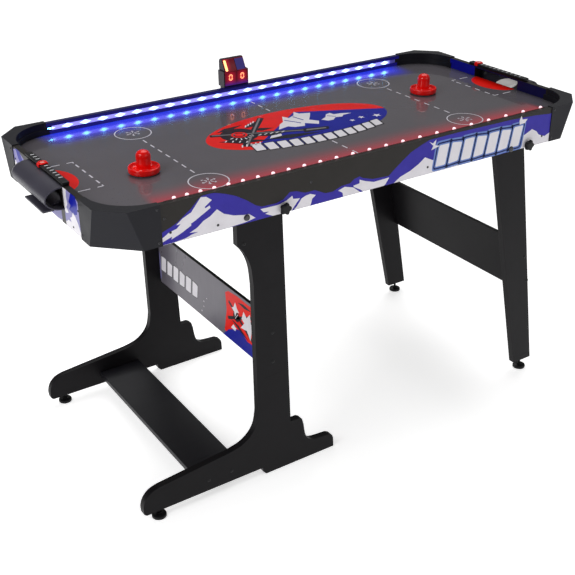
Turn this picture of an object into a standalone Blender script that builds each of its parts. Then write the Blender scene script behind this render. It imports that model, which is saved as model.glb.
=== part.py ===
"""Air hockey table that stores upright: 54 in body, moulded corner caps, light strips along the rails,
a printed cross panel between two I-shaped legs at one end and a folding pair of straight legs at the other.

X runs along the table, Y across it, Z up, metres; the origin is on the floor under the middle of the body.
"""

import math

import bmesh
import bpy
from mathutils import Matrix, Vector

# ---------------------------------------------------------------- driving dimensions
HALF_L = 0.686  # half of the body's length over the corner caps (54 in)
HALF_W = 0.320  # half of its width over the corner caps
RIM_Z = 0.8035  # top of the corner caps
SKIRT_Z = 0.711  # lower edge of the aprons and caps
CAP_SKIN = 0.0022  # how far a cap wraps over the apron ends
GAP = 0.0003  # clearance between pieces that touch
APRON_T = 0.015
APRON_TOP = RIM_Z - CAP_SKIN
APRON_Y = HALF_W - CAP_SKIN  # outer face of the side aprons
APRON_X = HALF_L - CAP_SKIN  # outer face of the end aprons
IN_Y = APRON_Y - APRON_T  # inner face of the side aprons, which is the rail
IN_X = APRON_X - APRON_T
CAP_RUN = 0.126  # length of a cap along each side
APRON_END = 0.096  # where the aprons stop under the caps, from the corner
CHAMFER_TOP = 0.052
CHAMFER_LOW = 0.083
CORNER_R = 0.108  # rounded inner corner of the rail
FIELD_Z = 0.772  # playing surface
FIELD_T = 0.0035
GROOVE = 0.0028  # depth of the groove that holds the field's edge
PLENUM_LOW = 0.738
PLENUM_X = 0.640
PLENUM_Y = 0.262
LEG_OUT = 0.301  # outer faces of all the legs
LEG_T = 0.018
LEG_IN = LEG_OUT - LEG_T
MOUTH = 0.086  # half width of a goal mouth
MOUTH_LOW = 0.7574
MOUTH_TOP = 0.7965
PIVOT = (-0.357, 0.724)  # (x, z) where the body turns on the I-legs
LOCK = (-0.262, 0.724)
HINGE = (0.425, 0.7175)  # (x, z) where the straight legs turn
LEG_LOCK = (0.482, 0.7185)
FOOT_X = -0.608  # levellers of the I-legs
LEG_FOOT_X = 0.578  # levellers of the straight legs
SKIRT_FOOT = 0.022  # underside of an I-leg's long foot
LEAN = 0.177  # lean of the straight legs' outer edge, x per z
LEAN_X = 0.616  # where that edge would meet the floor
BAR_TOP = 0.8100
BAR_L = 0.224  # length of a manual score bar
PUCK_T = 0.0052
ROCKER_TIP = 7.0  # degrees from the middle to either side
SHANK_R = 0.0038
SHANK_HOLE_R = 0.0043


# ---------------------------------------------------------------- scene and helpers
def clear_scene():
    for obj in list(bpy.data.objects):
        bpy.data.objects.remove(obj, do_unlink=True)
    for coll in list(bpy.data.collections):
        bpy.data.collections.remove(coll)


def new_collection(name, hidden=False):
    coll = bpy.data.collections.new(name)
    coll.hide_render = hidden
    bpy.context.scene.collection.children.link(coll)
    return coll


clear_scene()
PARTS = new_collection("air_hockey_table")
CUTTERS = new_collection("cutters", hidden=True)


def material(name, color, roughness, metallic=0.0, alpha=1.0, emission=None, coat=0.0):
    mat = bpy.data.materials.new(name)
    mat.use_nodes = True
    shader = mat.node_tree.nodes["Principled BSDF"]
    shader.inputs["Base Color"].default_value = (*color, 1.0)
    shader.inputs["Roughness"].default_value = roughness
    shader.inputs["Metallic"].default_value = metallic
    shader.inputs["Alpha"].default_value = alpha
    shader.inputs["Coat Weight"].default_value = coat
    if emission:
        shader.inputs["Emission Color"].default_value = (*emission, 1.0)
        shader.inputs["Emission Strength"].default_value = 4.0
    return mat


def charcoal_plastic(name):
    return material(name, (0.035, 0.035, 0.039), 0.48)


def black_board(name):
    return material(name, (0.020, 0.019, 0.021), 0.42)


def red_gloss(name):
    return material(name, (0.72, 0.010, 0.008), 0.16, coat=0.6)


def finish(bm, name, mat, origin=(0, 0, 0), cutter=False):
    """Makes an object of bm, whose points are in the table's frame, with its origin at the given point."""
    bmesh.ops.recalc_face_normals(bm, faces=bm.faces)
    bmesh.ops.translate(bm, verts=bm.verts, vec=-Vector(origin))
    mesh = bpy.data.meshes.new(name)
    bm.to_mesh(mesh)
    bm.free()
    mesh.shade_smooth()
    mesh.set_sharp_from_angle(angle=math.radians(30))
    obj = bpy.data.objects.new(name, mesh)
    obj.location = origin
    place(obj, mat, cutter)
    return obj


def place(obj, mat, cutter):
    """Puts an object in its collection: a visible part with its material, or a hidden cutter."""
    (CUTTERS if cutter else PARTS).objects.link(obj)
    if cutter:
        obj.hide_render = True
        obj.display_type = "WIRE"
    else:
        obj.data.materials.append(mat)


def add_box(bm, x, y, z):
    """A box between the low and high of each axis."""
    size = [b - a for a, b in (x, y, z)]
    middle = [(a + b) / 2 for a, b in (x, y, z)]
    matrix = Matrix.Translation(middle) @ Matrix.Diagonal((*size, 1.0))
    bmesh.ops.create_cube(bm, size=1.0, matrix=matrix)


def add_prism(bm, outline, plane, low, high):
    """The outline swept along the axis that its plane leaves out: plane 'xz' sweeps along Y."""
    where = {"xz": lambda u, v, w: (u, w, v), "xy": lambda u, v, w: (u, v, w), "yz": lambda u, v, w: (w, u, v)}[plane]
    verts = [bm.verts.new(where(u, v, low)) for u, v in outline]
    face = bm.faces.new(verts)
    swept = bmesh.ops.extrude_face_region(bm, geom=[face])
    moved = [item for item in swept["geom"] if isinstance(item, bmesh.types.BMVert)]
    bmesh.ops.translate(bm, verts=moved, vec=Vector(where(0, 0, high - low)))


def add_loft(bm, lower, upper):
    """A solid between two closed rings with the same number of points."""
    a = [bm.verts.new(point) for point in lower]
    b = [bm.verts.new(point) for point in upper]
    bm.faces.new(a[::-1])
    bm.faces.new(b)
    for i in range(len(a)):
        j = (i + 1) % len(a)
        bm.faces.new((a[i], a[j], b[j], b[i]))


def turned(name, mat, profile, steps, point, direction=(0, 0, 1), cutter=False):
    """A solid of revolution on a Screw modifier: the profile is (radius, height) about the point."""
    ring = profile[0][0] > 0 and profile[-1][0] > 0
    closed = [*profile, profile[0]]
    area = sum(a[0] * b[1] - b[0] * a[1] for a, b in zip(closed, closed[1:]))
    if area > 0:
        profile = profile[::-1]
    points = [(r, 0.0, h) for r, h in profile]
    edges = [(i, i + 1) for i in range(len(points) - 1)] + ([(len(points) - 1, 0)] if ring else [])
    mesh = bpy.data.meshes.new(name)
    mesh.from_pydata(points, edges, [])
    obj = bpy.data.objects.new(name, mesh)
    obj.location = point
    obj.rotation_mode = "QUATERNION"
    obj.rotation_quaternion = Vector((0, 0, 1)).rotation_difference(Vector(direction))
    place(obj, mat, cutter)
    screw = obj.modifiers.new("turn", "SCREW")
    screw.steps = screw.render_steps = steps
    screw.use_merge_vertices = True
    screw.merge_threshold = 1e-6
    return obj


def add_rings(bm, rings):
    """A solid through several closed rings with the same number of points, capped at both ends."""
    loops = [[bm.verts.new(point) for point in ring] for ring in rings]
    for a, b in zip(loops, loops[1:]):
        for i in range(len(a)):
            j = (i + 1) % len(a)
            bm.faces.new((a[i], a[j], b[j], b[i]))
    bm.faces.new(loops[0][::-1])
    bm.faces.new(loops[-1])
    bmesh.ops.recalc_face_normals(bm, faces=bm.faces)


def boolean(obj, other, operation="DIFFERENCE"):
    mod = obj.modifiers.new(f"{operation.lower()}_{len(obj.modifiers)}", "BOOLEAN")
    mod.operation = operation
    mod.solver = "EXACT"
    mod.object = other


def bevel(obj, width, segments=1, angle=35.0):
    obj.data.shade_flat()
    mod = obj.modifiers.new("edges", "BEVEL")
    mod.width = width
    mod.segments = segments
    mod.limit_method = "ANGLE"
    mod.angle_limit = math.radians(angle)
    mod.miter_outer = "MITER_SHARP"


def box(name, mat, x, y, z, origin=(0, 0, 0), cutter=False):
    bm = bmesh.new()
    add_box(bm, x, y, z)
    return finish(bm, name, mat, origin, cutter)


def cut_box(obj, x, y, z):
    boolean(obj, box(f"cut_{obj.name}_{len(obj.modifiers)}", None, x, y, z, cutter=True))


def cut_round(obj, centre, direction, radius, length, steps=20):
    name = f"cut_{obj.name}_{len(obj.modifiers)}"
    profile = [(0, length / 2), (radius, length / 2), (radius, -length / 2), (0, -length / 2)]
    boolean(obj, turned(name, None, profile, steps, centre, direction, cutter=True))


def arc(cx, cy, radius, start, stop, steps):
    """Points on a circle between two angles in degrees."""
    turn = [math.radians(start + (stop - start) * i / steps) for i in range(steps + 1)]
    return [(cx + radius * math.cos(t), cy + radius * math.sin(t)) for t in turn]


def mirrored(points, sx, sy):
    return [(x * sx, y * sy, *rest) for x, y, *rest in points]


# ---------------------------------------------------------------- the body: field, air box, aprons, caps
def make_field():
    """Thin slippery board with clipped corners, held in grooves round the aprons."""
    x, y, clip = IN_X + GROOVE - GAP, IN_Y + GROOVE - GAP, 0.046
    outline = []
    for sx, sy in ((1, 1), (-1, 1), (-1, -1), (1, -1)):
        ends = [(sx * x, sy * (y - clip)), (sx * (x - clip), sy * y)]
        outline += ends if sx * sy > 0 else ends[::-1]
    bm = bmesh.new()
    add_prism(bm, outline, "xy", FIELD_Z - FIELD_T, FIELD_Z)
    board = finish(bm, "playfield", material("playfield", (0.115, 0.100, 0.120), 0.10, coat=1.0))
    for side in (-1, 1):
        edge = sorted((side * (IN_X + 0.0001), side * (x + 0.01)))
        cut_box(board, edge, (-MOUTH - 0.001, MOUTH + 0.001), (FIELD_Z - 0.01, FIELD_Z + 0.01))
    return board


def make_plenum():
    """Tray that makes the air chamber under the field, with the blower's hole in its floor."""
    top = FIELD_Z - FIELD_T - GAP
    mat = material("air_box", (0.055, 0.052, 0.055), 0.7)
    tray = box("air_box", mat, (-PLENUM_X, PLENUM_X), (-PLENUM_Y, PLENUM_Y), (PLENUM_LOW, top))
    wall = 0.006
    cut_box(
        tray,
        (-PLENUM_X + 0.012, PLENUM_X - 0.012),
        (-PLENUM_Y + 0.012, PLENUM_Y - 0.012),
        (PLENUM_LOW + wall, top + 0.01),
    )
    cut_round(tray, (FAN_X, FAN_Y, PLENUM_LOW), (0, 0, 1), 0.046, 0.04, 28)
    return tray


FAN_X, FAN_Y = -0.140, 0.085


def make_batten(name, x):
    """Cross batten under the air box, between the side aprons."""
    y = IN_Y - GAP
    return box(name, material(name, (0.06, 0.055, 0.052), 0.75), (x, x + 0.030), (-y, y), (0.7165, PLENUM_LOW - GAP))


def make_side_apron(name, side):
    """Long apron; its inner face is the rail, with grooves for the field and the light strip."""
    x = HALF_L - APRON_END
    y = sorted((side * IN_Y, side * APRON_Y))
    apron = box(name, black_board(name), (-x, x), y, (SKIRT_Z, APRON_TOP))
    groove = sorted((side * (IN_Y - 0.01), side * (IN_Y + GROOVE)))
    cut_box(apron, (-x - 0.01, x + 0.01), groove, (FIELD_Z - FIELD_T - GAP, FIELD_Z + GAP))
    strip = sorted((side * (IN_Y - 0.01), side * (IN_Y + 0.0030)))
    low, high = strip_heights(side)
    top = APRON_TOP + 0.01 if high > APRON_TOP else high + GAP
    cut_box(apron, (-STRIP_X - 0.001, STRIP_X + 0.001), strip, (low - GAP, top))
    for x, z in (PIVOT, LOCK, HINGE, LEG_LOCK):
        cut_round(apron, (x, side * HALF_W, z), (0, 1, 0), SHANK_HOLE_R, 0.06)
    return apron


STRIP_X, STRIP_WIDE = 0.545, 0.0100


def strip_heights(side):
    """The far strip lies in a groove of the rail; the near one fills its inner top edge and stands 2 mm proud."""
    low = 0.7820 if side > 0 else 0.7933
    return low, low + STRIP_WIDE


def make_light_strip(name, side, color):
    """Flexible light strip in its rebate, flush with the rail's inner face."""
    y = sorted((side * (IN_Y + 0.0002), side * (IN_Y + 0.0027)))
    mat = material(name, color, 0.3, emission=color)
    return box(name, mat, (-STRIP_X, STRIP_X), y, strip_heights(side))


def make_end_apron(name, side):
    """Short apron with the goal mouth through it and a groove for the field's end."""
    y = HALF_W - APRON_END
    x = sorted((side * IN_X, side * APRON_X))
    apron = box(name, black_board(name), x, (-y, y), (SKIRT_Z, APRON_TOP))
    groove = sorted((side * (IN_X - 0.01), side * (IN_X + GROOVE)))
    cut_box(apron, groove, (-y - 0.01, y + 0.01), (FIELD_Z - FIELD_T - GAP, FIELD_Z + GAP))
    through = sorted((side * (IN_X - 0.02), side * (APRON_X + 0.02)))
    cut_box(apron, through, (-MOUTH, MOUTH), (MOUTH_LOW, MOUTH_TOP))
    return apron


def corner_ring(sx, sy, run, chamfer, inset, z):
    """Outline of a cap at one height, as an L with its outer corner cut off."""
    hx, hy, i = HALF_L, HALF_W, inset
    slant = chamfer + i * 0.586
    points = [
        (hx - i, hy - run),
        (hx - i, hy - slant),
        (hx - slant, hy - i),
        (hx - run, hy - i),
        (hx - run, hy - run),
    ]
    return [(sx * x, sy * y, z) for x, y in points]


def make_cap(name, sx, sy):
    """Moulded corner: sloped chamfer outside, rounded rail inside, a thin skin over the apron ends."""
    bm = bmesh.new()
    add_loft(
        bm,
        corner_ring(sx, sy, CAP_RUN, CHAMFER_LOW, 0.0, SKIRT_Z),
        corner_ring(sx, sy, CAP_RUN, CHAMFER_TOP, 0.0, RIM_Z),
    )
    cap = finish(bm, name, charcoal_plastic(name))
    shelf = FIELD_Z + GAP
    share = (shelf - SKIRT_Z) / (RIM_Z - SKIRT_Z)
    chamfer_shelf = CHAMFER_LOW + (CHAMFER_TOP - CHAMFER_LOW) * share
    chamfer_under = CHAMFER_LOW + (CHAMFER_LOW - CHAMFER_TOP) * 0.1
    bm = bmesh.new()
    add_loft(
        bm,
        corner_ring(sx, sy, CAP_RUN + 0.01, chamfer_under, CAP_SKIN, SKIRT_Z - 0.1 * (RIM_Z - SKIRT_Z)),
        corner_ring(sx, sy, CAP_RUN + 0.01, chamfer_shelf, CAP_SKIN, shelf),
    )
    boolean(cap, finish(bm, f"cut_{name}_below", None, cutter=True))
    r = CORNER_R
    opening = [(x, y) for x, y in arc(IN_X - r, IN_Y - r, r, 0, 90, 14)]
    opening += [(HALF_L - CAP_RUN - 0.02, IN_Y), (HALF_L - CAP_RUN - 0.02, HALF_W - CAP_RUN - 0.02)]
    opening += [(IN_X, HALF_W - CAP_RUN - 0.02)]
    bm = bmesh.new()
    add_prism(bm, mirrored(opening, sx, sy), "xy", FIELD_Z - 0.004, RIM_Z + 0.01)
    boolean(cap, finish(bm, f"cut_{name}_field", None, cutter=True))
    slot_x = sorted((sx * (HALF_L - APRON_END + GAP), sx * (HALF_L - CAP_RUN - 0.01)))
    slot_y = sorted((sy * (IN_Y - GAP), sy * (APRON_Y + GAP)))
    cut_box(cap, slot_x, slot_y, (SKIRT_Z - 0.02, APRON_TOP + GAP))
    slot_x = sorted((sx * (IN_X - GAP), sx * (APRON_X + GAP)))
    slot_y = sorted((sy * (HALF_W - APRON_END + GAP), sy * (HALF_W - CAP_RUN - 0.01)))
    cut_box(cap, slot_x, slot_y, (SKIRT_Z - 0.02, APRON_TOP + GAP))
    return cap


HOOD_Z, HOOD_R = 0.7747, 0.0265


def hood_outline(inset):
    """Side view of a goal hood: half an oval on the apron's face."""
    cx, cz = -APRON_X - GAP, HOOD_Z
    rx, rz = 0.0435 - inset, HOOD_R - inset
    return [(x, z) for x, z in ((cx + rx * math.cos(t), cz + rz * math.sin(t)) for t in half_turn(16))]


def half_turn(steps):
    return [math.radians(90 + 180 * i / steps) for i in range(steps + 1)]


def make_goal_box(name, mirror):
    """Hood, puck tray and the tongue that runs back through the goal mouth; the far end is rounded and closed."""
    bm = bmesh.new()
    outer = [(-0.110, 0.0), (0.086, 0.0), (0.098, 0.0030), (0.106, 0.0105)]
    add_rings(bm, [[(x, y, z) for x, z in hood_outline(inset)] for y, inset in outer])
    hood = finish(bm, name, charcoal_plastic(name))
    bm = bmesh.new()
    rings = []
    for y, inset in [(-0.120, 0.0028), (0.0865, 0.0028), (0.0960, 0.0060), (0.1020, 0.0130)]:
        room = HOOD_R - inset
        ring = [(-APRON_X + 0.01, HOOD_Z + room), *hood_outline(inset), (-APRON_X + 0.01, HOOD_Z - room)]
        rings.append([(x, y, z) for x, z in ring])
    add_rings(bm, rings)
    boolean(hood, finish(bm, f"cut_{name}_inside", None, cutter=True))
    floor = HOOD_Z - HOOD_R + 0.0005
    tray = [
        (-0.6510, MOUTH_LOW + GAP),
        (-0.6510, 0.7610),
        (-0.6880, 0.7610),
        (-0.7060, 0.7545),
        (-0.7190, 0.7560),
        (-0.7120, floor + 0.001),
        (-0.6900, floor),
        (-APRON_X - GAP, floor),
        (-APRON_X - GAP, MOUTH_LOW + GAP),
    ]
    bm = bmesh.new()
    add_prism(bm, tray, "xz", -MOUTH + GAP + 0.0005, MOUTH - GAP - 0.0005)
    boolean(hood, finish(bm, f"add_{name}_tray", None, cutter=True), "UNION")
    lip = box(f"add_{name}_lip", None, (-0.7335, -0.7080), (-0.1095, -0.0030), (0.7505, 0.7545), cutter=True)
    boolean(hood, lip, "UNION")
    if mirror:
        for obj in bpy.data.objects:
            if name in obj.name:
                obj.data.transform(Matrix.Diagonal((-1.0, 1.0, 1.0, 1.0)))
                obj.data.flip_normals()
    return hood


def make_score_bar(name, side):
    """Raised bar on the end apron; the slider rides its two grooves."""
    x = sorted((side * (IN_X - 0.0015), side * (APRON_X + 0.0012)))
    bar = box(name, charcoal_plastic(name), x, (-BAR_L / 2, BAR_L / 2), (APRON_TOP + GAP, BAR_TOP))
    bevel(bar, 0.0022, 2)
    for edge in (side * (IN_X - 0.0015), side * (APRON_X + 0.0012)):
        cut_box(bar, (edge - 0.0016, edge + 0.0016), (-BAR_L / 2 - 0.01, BAR_L / 2 + 0.01), (0.8040, 0.8060))
    return bar


def make_score_slider(name, side, y):
    """Small red saddle over the score bar, hooked into its grooves."""
    low, high = IN_X - 0.0015, APRON_X + 0.0012
    origin = (side * (low + high) / 2, y, BAR_TOP)
    slider = box(
        name,
        red_gloss(name),
        sorted((side * (low - 0.0024), side * (high + 0.0024))),
        (y - 0.0085, y + 0.0085),
        (0.8042, 0.8132),
        origin,
    )
    cut_box(slider, sorted((side * (low - 0.0003), side * (high + 0.0003))), (y - 0.02, y + 0.02), (0.80, BAR_TOP + GAP))
    for edge in (side * (low - 0.0004), side * (high + 0.0004)):
        inward = 1 if (edge > 0) == (abs(edge) < IN_X) else -1
        hook = sorted((edge - inward * 0.0008, edge + inward * 0.0013))
        lip = box(f"add_{name}_{abs(edge):.4f}", None, hook, (y - 0.0083, y + 0.0083), (0.8044, 0.8056), cutter=True)
        boolean(slider, lip, "UNION")
    return slider


# ---------------------------------------------------------------- electronics
def make_scoreboard():
    """Electronic scorer behind the far rail: upright lower front, upper front leaning back between two shoulders."""
    outline = [(0.3128, 0.8018), (0.3128, 0.8440), (0.3308, 0.8760), (0.3400, 0.8760), (0.3450, 0.8700), (0.3450, 0.8018)]
    bm = bmesh.new()
    add_prism(bm, outline, "yz", -0.0430, 0.0340)
    case = finish(bm, "scoreboard_case", charcoal_plastic("scoreboard_case"))
    cut_box(case, (-0.060, -0.0395), (0.30, 0.36), (0.8448, 0.90))
    cut_box(case, (0.0275, 0.060), (0.30, 0.36), (0.8448, 0.90))
    skirt = box("add_scoreboard_skirt", None, (-0.038, 0.029), (APRON_Y + GAP, 0.3445), (0.770, 0.803), cutter=True)
    boolean(case, skirt, "UNION")
    cut_round(case, (-0.006, 0.3450, 0.852), (0, 1, 0), 0.0062, 0.018)
    return case


def make_scoreboard_lens():
    """Dark window, bent once to follow the case's front."""
    bm = bmesh.new()
    outline = [(0.3098, 0.8060), (0.3098, 0.8445), (0.3268, 0.8748), (0.3299, 0.8748), (0.3125, 0.8440), (0.3125, 0.8060)]
    add_prism(bm, outline, "yz", -0.0405, 0.0315)
    lens = finish(bm, "scoreboard_lens", material("scoreboard_lens", (0.09, 0.004, 0.010), 0.08, coat=1.0))
    cut_box(lens, (-0.060, -0.0380), (0.30, 0.34), (0.8440, 0.90))
    cut_box(lens, (0.0260, 0.060), (0.30, 0.34), (0.8440, 0.90))
    return lens


def make_scoreboard_button():
    """Reset button in the back of the scorer."""
    profile = [(0, 0.0070), (0.0048, 0.0070), (0.0058, 0.0058), (0.0058, 0), (0, 0)]
    at = (-0.006, 0.3410, 0.852)
    return turned("scoreboard_button", red_gloss("scoreboard_button"), profile, 20, at, (0, 1, 0))


FAN_DEEP = 0.036
FAN_TOP = PLENUM_LOW - GAP
FAN_LOW = FAN_TOP - FAN_DEEP


def make_blower():
    """Round fan housing under the air box: four spokes carry the motor, flange against the box."""
    at = (FAN_X, FAN_Y, FAN_LOW)
    profile = [(0.0500, 0), (0.0500, FAN_DEEP), (0.0620, FAN_DEEP), (0.0620, FAN_DEEP - 0.003)]
    profile += [(0.0540, FAN_DEEP - 0.003), (0.0540, 0)]
    housing = turned("blower_housing", charcoal_plastic("blower_housing"), profile, 36, at)
    for turn in (45, 135):
        spoke = box(f"add_spoke_{turn}", None, (-0.0525, 0.0525), (-0.0025, 0.0025), (0.0005, 0.0040), cutter=True)
        spoke.location = at
        spoke.rotation_euler.z = math.radians(turn)
        boolean(housing, spoke, "UNION")
    cup = [(0, 0.012), (0.0170, 0.012), (0.0170, 0), (0, 0)]
    boolean(housing, turned("add_motor_cup", None, cup, 28, at, cutter=True), "UNION")
    return housing


def make_impeller():
    """Seven-blade axial fan on the motor's shaft."""
    at = (FAN_X, FAN_Y, FAN_LOW + 0.0126)
    profile = [(0, 0.019), (0.0145, 0.019), (0.0165, 0.017), (0.0165, 0), (0, 0)]
    mat = material("blower_impeller", (0.03, 0.03, 0.03), 0.5)
    fan = turned("blower_impeller", mat, profile, 28, at)
    count = 7
    for i in range(count):
        blade = box(f"add_blade_{i}", None, (0.0150, 0.0470), (-0.0115, 0.0115), (-0.0009, 0.0009), cutter=True)
        blade.location = (FAN_X, FAN_Y, FAN_LOW + 0.0221)
        blade.rotation_euler = (math.radians(32), 0, math.tau * i / count)
        boolean(fan, blade, "UNION")
    return fan


def make_power_inlet():
    """Round barrel socket for the adaptor on the right end apron."""
    profile = [(0.0030, 0), (0.0030, 0.0060), (0.0062, 0.0060), (0.0062, 0.0034), (0.0085, 0.0022), (0.0085, 0)]
    mat = material("power_inlet", (0.02, 0.02, 0.02), 0.35)
    return turned("power_inlet", mat, profile, 24, (APRON_X + GAP, 0.180, 0.7355), (1, 0, 0))


def make_power_switch():
    """Rocker switch frame next to the inlet, and the rocker that tips in it."""
    x = APRON_X + GAP
    frame = box("switch_frame", charcoal_plastic("switch_frame"), (x, x + 0.0055), (0.139, 0.161), (0.728, 0.743))
    cut_box(frame, (x + 0.0008, x + 0.01), (0.1415, 0.1585), (0.7305, 0.7405))
    axis = (x + 0.0035, 0.1500, 0.7355)
    outline = [(-0.0017, 0), (0.0000, -0.0076), (0.0040, -0.0076), (0.0026, 0), (0.0040, 0.0076), (0.0000, 0.0076)]
    tip = Matrix.Rotation(math.radians(-ROCKER_TIP), 2)
    points = [tip @ Vector(point) for point in outline]
    bm = bmesh.new()
    add_prism(bm, [(axis[0] + px, axis[1] + py) for px, py in points], "xy", 0.7309, 0.7401)
    rocker = finish(bm, "switch_rocker", red_gloss("switch_rocker"), axis)
    return frame, rocker


# ---------------------------------------------------------------- I-leg stand
def eased(points, steps=3):
    """A smooth curve through the points, with the first and last kept as they are."""
    out = []
    for i in range(len(points) - 1):
        a, b, c, d = (Vector(points[min(max(k, 0), len(points) - 1)]) for k in (i - 1, i, i + 1, i + 2))
        for k in range(steps):
            t = k / steps
            curve = b * 2 + (c - a) * t + (a * 2 - b * 5 + c * 4 - d) * t**2 + (b * 3 - a - c * 3 + d) * t**3
            out.append(tuple(curve / 2))
    return out + [tuple(points[-1])]


def i_leg_outline():
    """Side view of an I-leg: long foot on a leveller, ledge toward the middle, column, wide head."""
    toe = [(-0.6495, 0.0270), (-0.6505, 0.0450), (-0.6440, 0.0660), (-0.6270, 0.0830), (-0.6040, 0.0900)]
    heel = [(-0.4150, 0.1085), (-0.3800, 0.1165), (-0.3535, 0.1340), (-0.3370, 0.1600), (-0.3305, 0.1980)]
    neck = [(-0.3340, 0.5420), (-0.3385, 0.5850), (-0.3470, 0.6140), (-0.3585, 0.6350), (-0.3730, 0.6520)]
    head = [(-0.3730, 0.7250), *arc(-0.3570, 0.7290, 0.0160, 165, 90, 5), (-0.2440, 0.7450)]
    side = [(-0.2440, 0.7160), (-0.2545, 0.7080), (-0.2365, 0.1310), (-0.2115, 0.1305), (-0.2020, 0.1250)]
    hook = [(-0.1975, 0.1080), (-0.1930, 0.0780), (-0.1850, 0.0590), (-0.1700, 0.0490), (-0.1510, 0.0460)]
    ledge = [(-0.1200, 0.0435), (-0.1080, 0.0370), (-0.1040, 0.0260)]
    under = [(-0.1030, 0.0), (-0.3110, 0.0), (-0.3195, 0.0095), (-0.3207, SKIRT_FOOT)]
    foot = [(-0.6430, SKIRT_FOOT), *eased(toe), (-0.5280, 0.0975), *eased(heel)]
    return foot + eased(neck) + head + side + eased(hook) + ledge + under


def slot_outline(pivot, lock, start, stop, half):
    """Open-ended curved slot about a pivot, from the lock's place out past the head's top edge."""
    radius = math.hypot(lock[0] - pivot[0], lock[1] - pivot[1])
    outer = arc(*pivot, radius + half, start, stop, 8)
    inner = arc(*pivot, radius - half, stop, start, 8)
    first = math.radians(start)
    end = (pivot[0] + radius * math.cos(first), pivot[1] + radius * math.sin(first))
    bottom = arc(*end, half, start + 180 + 20, start + 360 - 20, 6)
    return inner + bottom + outer


def make_i_leg(name, side):
    y = sorted((side * LEG_IN, side * LEG_OUT))
    bm = bmesh.new()
    add_prism(bm, i_leg_outline(), "xz", *y)
    leg = finish(bm, name, black_board(name))
    cut_round(leg, (PIVOT[0], side * LEG_OUT, PIVOT[1]), (0, 1, 0), SHANK_HOLE_R, 0.08)
    bm = bmesh.new()
    add_prism(bm, slot_outline(PIVOT, LOCK, 0.0, 22.0, SHANK_HOLE_R), "xz", y[0] - 0.01, y[1] + 0.01)
    boolean(leg, finish(bm, f"cut_{name}_slot", None, cutter=True))
    cut_round(leg, (FOOT_X, side * (LEG_IN + LEG_OUT) / 2, SKIRT_FOOT), (0, 0, 1), 0.0036, 0.05, 16)
    return leg


def make_stand_boards():
    y = LEG_IN - GAP
    low = box("lower_board", black_board("lower_board"), (-0.5000, -0.3790), (-y, y), (0.0450, 0.0600))
    bevel(low, 0.0010)
    print_mat = material("printed_panel", (0.16, 0.16, 0.165), 0.4)
    high = box("printed_panel", print_mat, (-0.2900, -0.2813), (-y, y), (0.2900, 0.4410))
    bevel(high, 0.0008)
    return low, high


# ---------------------------------------------------------------- straight legs
def straight_leg_outline():
    """Side view of a straight leg: tapered, leaning out, rounded round its hinge inside the apron."""
    left = [(0.5450, 0.0280), (0.3930, 0.7030), (0.3795, 0.7050)]
    start = math.degrees(math.atan2(0.7050 - HINGE[1], 0.3795 - HINGE[0])) + 360
    head = arc(*HINGE, 0.0478, start, 92, 9)
    right = [(0.4700, 0.7640), (0.5000, 0.7400), (0.5000, 0.7135), (LEAN_X - LEAN * 0.711, 0.7105)]
    return left + head + right + [(LEAN_X - LEAN * 0.028, 0.0280)]


def make_straight_leg(name, side):
    y = sorted((side * LEG_IN, side * LEG_OUT))
    bm = bmesh.new()
    add_prism(bm, straight_leg_outline(), "xz", *y)
    leg = finish(bm, name, black_board(name), (HINGE[0], 0, HINGE[1]))
    cut_round(leg, (HINGE[0], side * LEG_OUT, HINGE[1]), (0, 1, 0), SHANK_HOLE_R, 0.08)
    bm = bmesh.new()
    add_prism(bm, slot_outline(HINGE, LEG_LOCK, 1.0, 62.0, SHANK_HOLE_R), "xz", y[0] - 0.01, y[1] + 0.01)
    boolean(leg, finish(bm, f"cut_{name}_slot", None, cutter=True))
    cut_round(leg, (LEG_FOOT_X, side * (LEG_IN + LEG_OUT) / 2, 0.028), (0, 0, 1), 0.0036, 0.05, 16)
    return leg


def make_crossbar():
    """Board between the straight legs, flush with their outer edges and leaning with them."""
    y = LEG_IN - GAP
    low, high, thick = 0.2560, 0.4150, 0.0120
    outline = [(LEAN_X - 0.0005 - LEAN * z, z) for z in (low, high)]
    outline += [(LEAN_X - thick - LEAN * z, z) for z in (high, low)]
    bm = bmesh.new()
    add_prism(bm, outline, "xz", -y, y)
    return finish(bm, "crossbar", black_board("crossbar"), (HINGE[0], 0, HINGE[1]))


# ---------------------------------------------------------------- hardware
def make_leveller(name, x, side, under):
    """Screw-in levelling foot: broad disc, hexagonal neck and a stem up into the leg."""
    neck = under - GAP
    profile = [(0, neck + 0.022), (0.0032, neck + 0.022), (0.0032, neck), (0.0070, neck), (0.0075, 0.0090)]
    profile += [(0.0160, 0.0085), (0.0180, 0.0065), (0.0180, 0.0015), (0.0165, 0), (0, 0)]
    return turned(name, charcoal_plastic(name), profile, 24, (x, side * (LEG_IN + LEG_OUT) / 2, 0))


def make_pivot_bolt(name, at, side):
    """Button-head bolt through apron and leg, with its nut run up inside."""
    head, depth = 0.0042, HALF_W + 0.0020 - LEG_IN + GAP
    profile = [(0, 0), (0.0045, 0), (0.0068, -0.0012), (0.0075, GAP - head), (SHANK_R, GAP - head)]
    profile += [(SHANK_R, -depth), (0.0070, -depth), (0.0070, -depth - 0.0062), (0, -depth - 0.0062)]
    mat = material(name, (0.025, 0.025, 0.027), 0.3, metallic=0.8)
    return turned(name, mat, profile, 20, (at[0], side * (HALF_W + 0.0020), at[1]), (0, side, 0))


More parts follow.
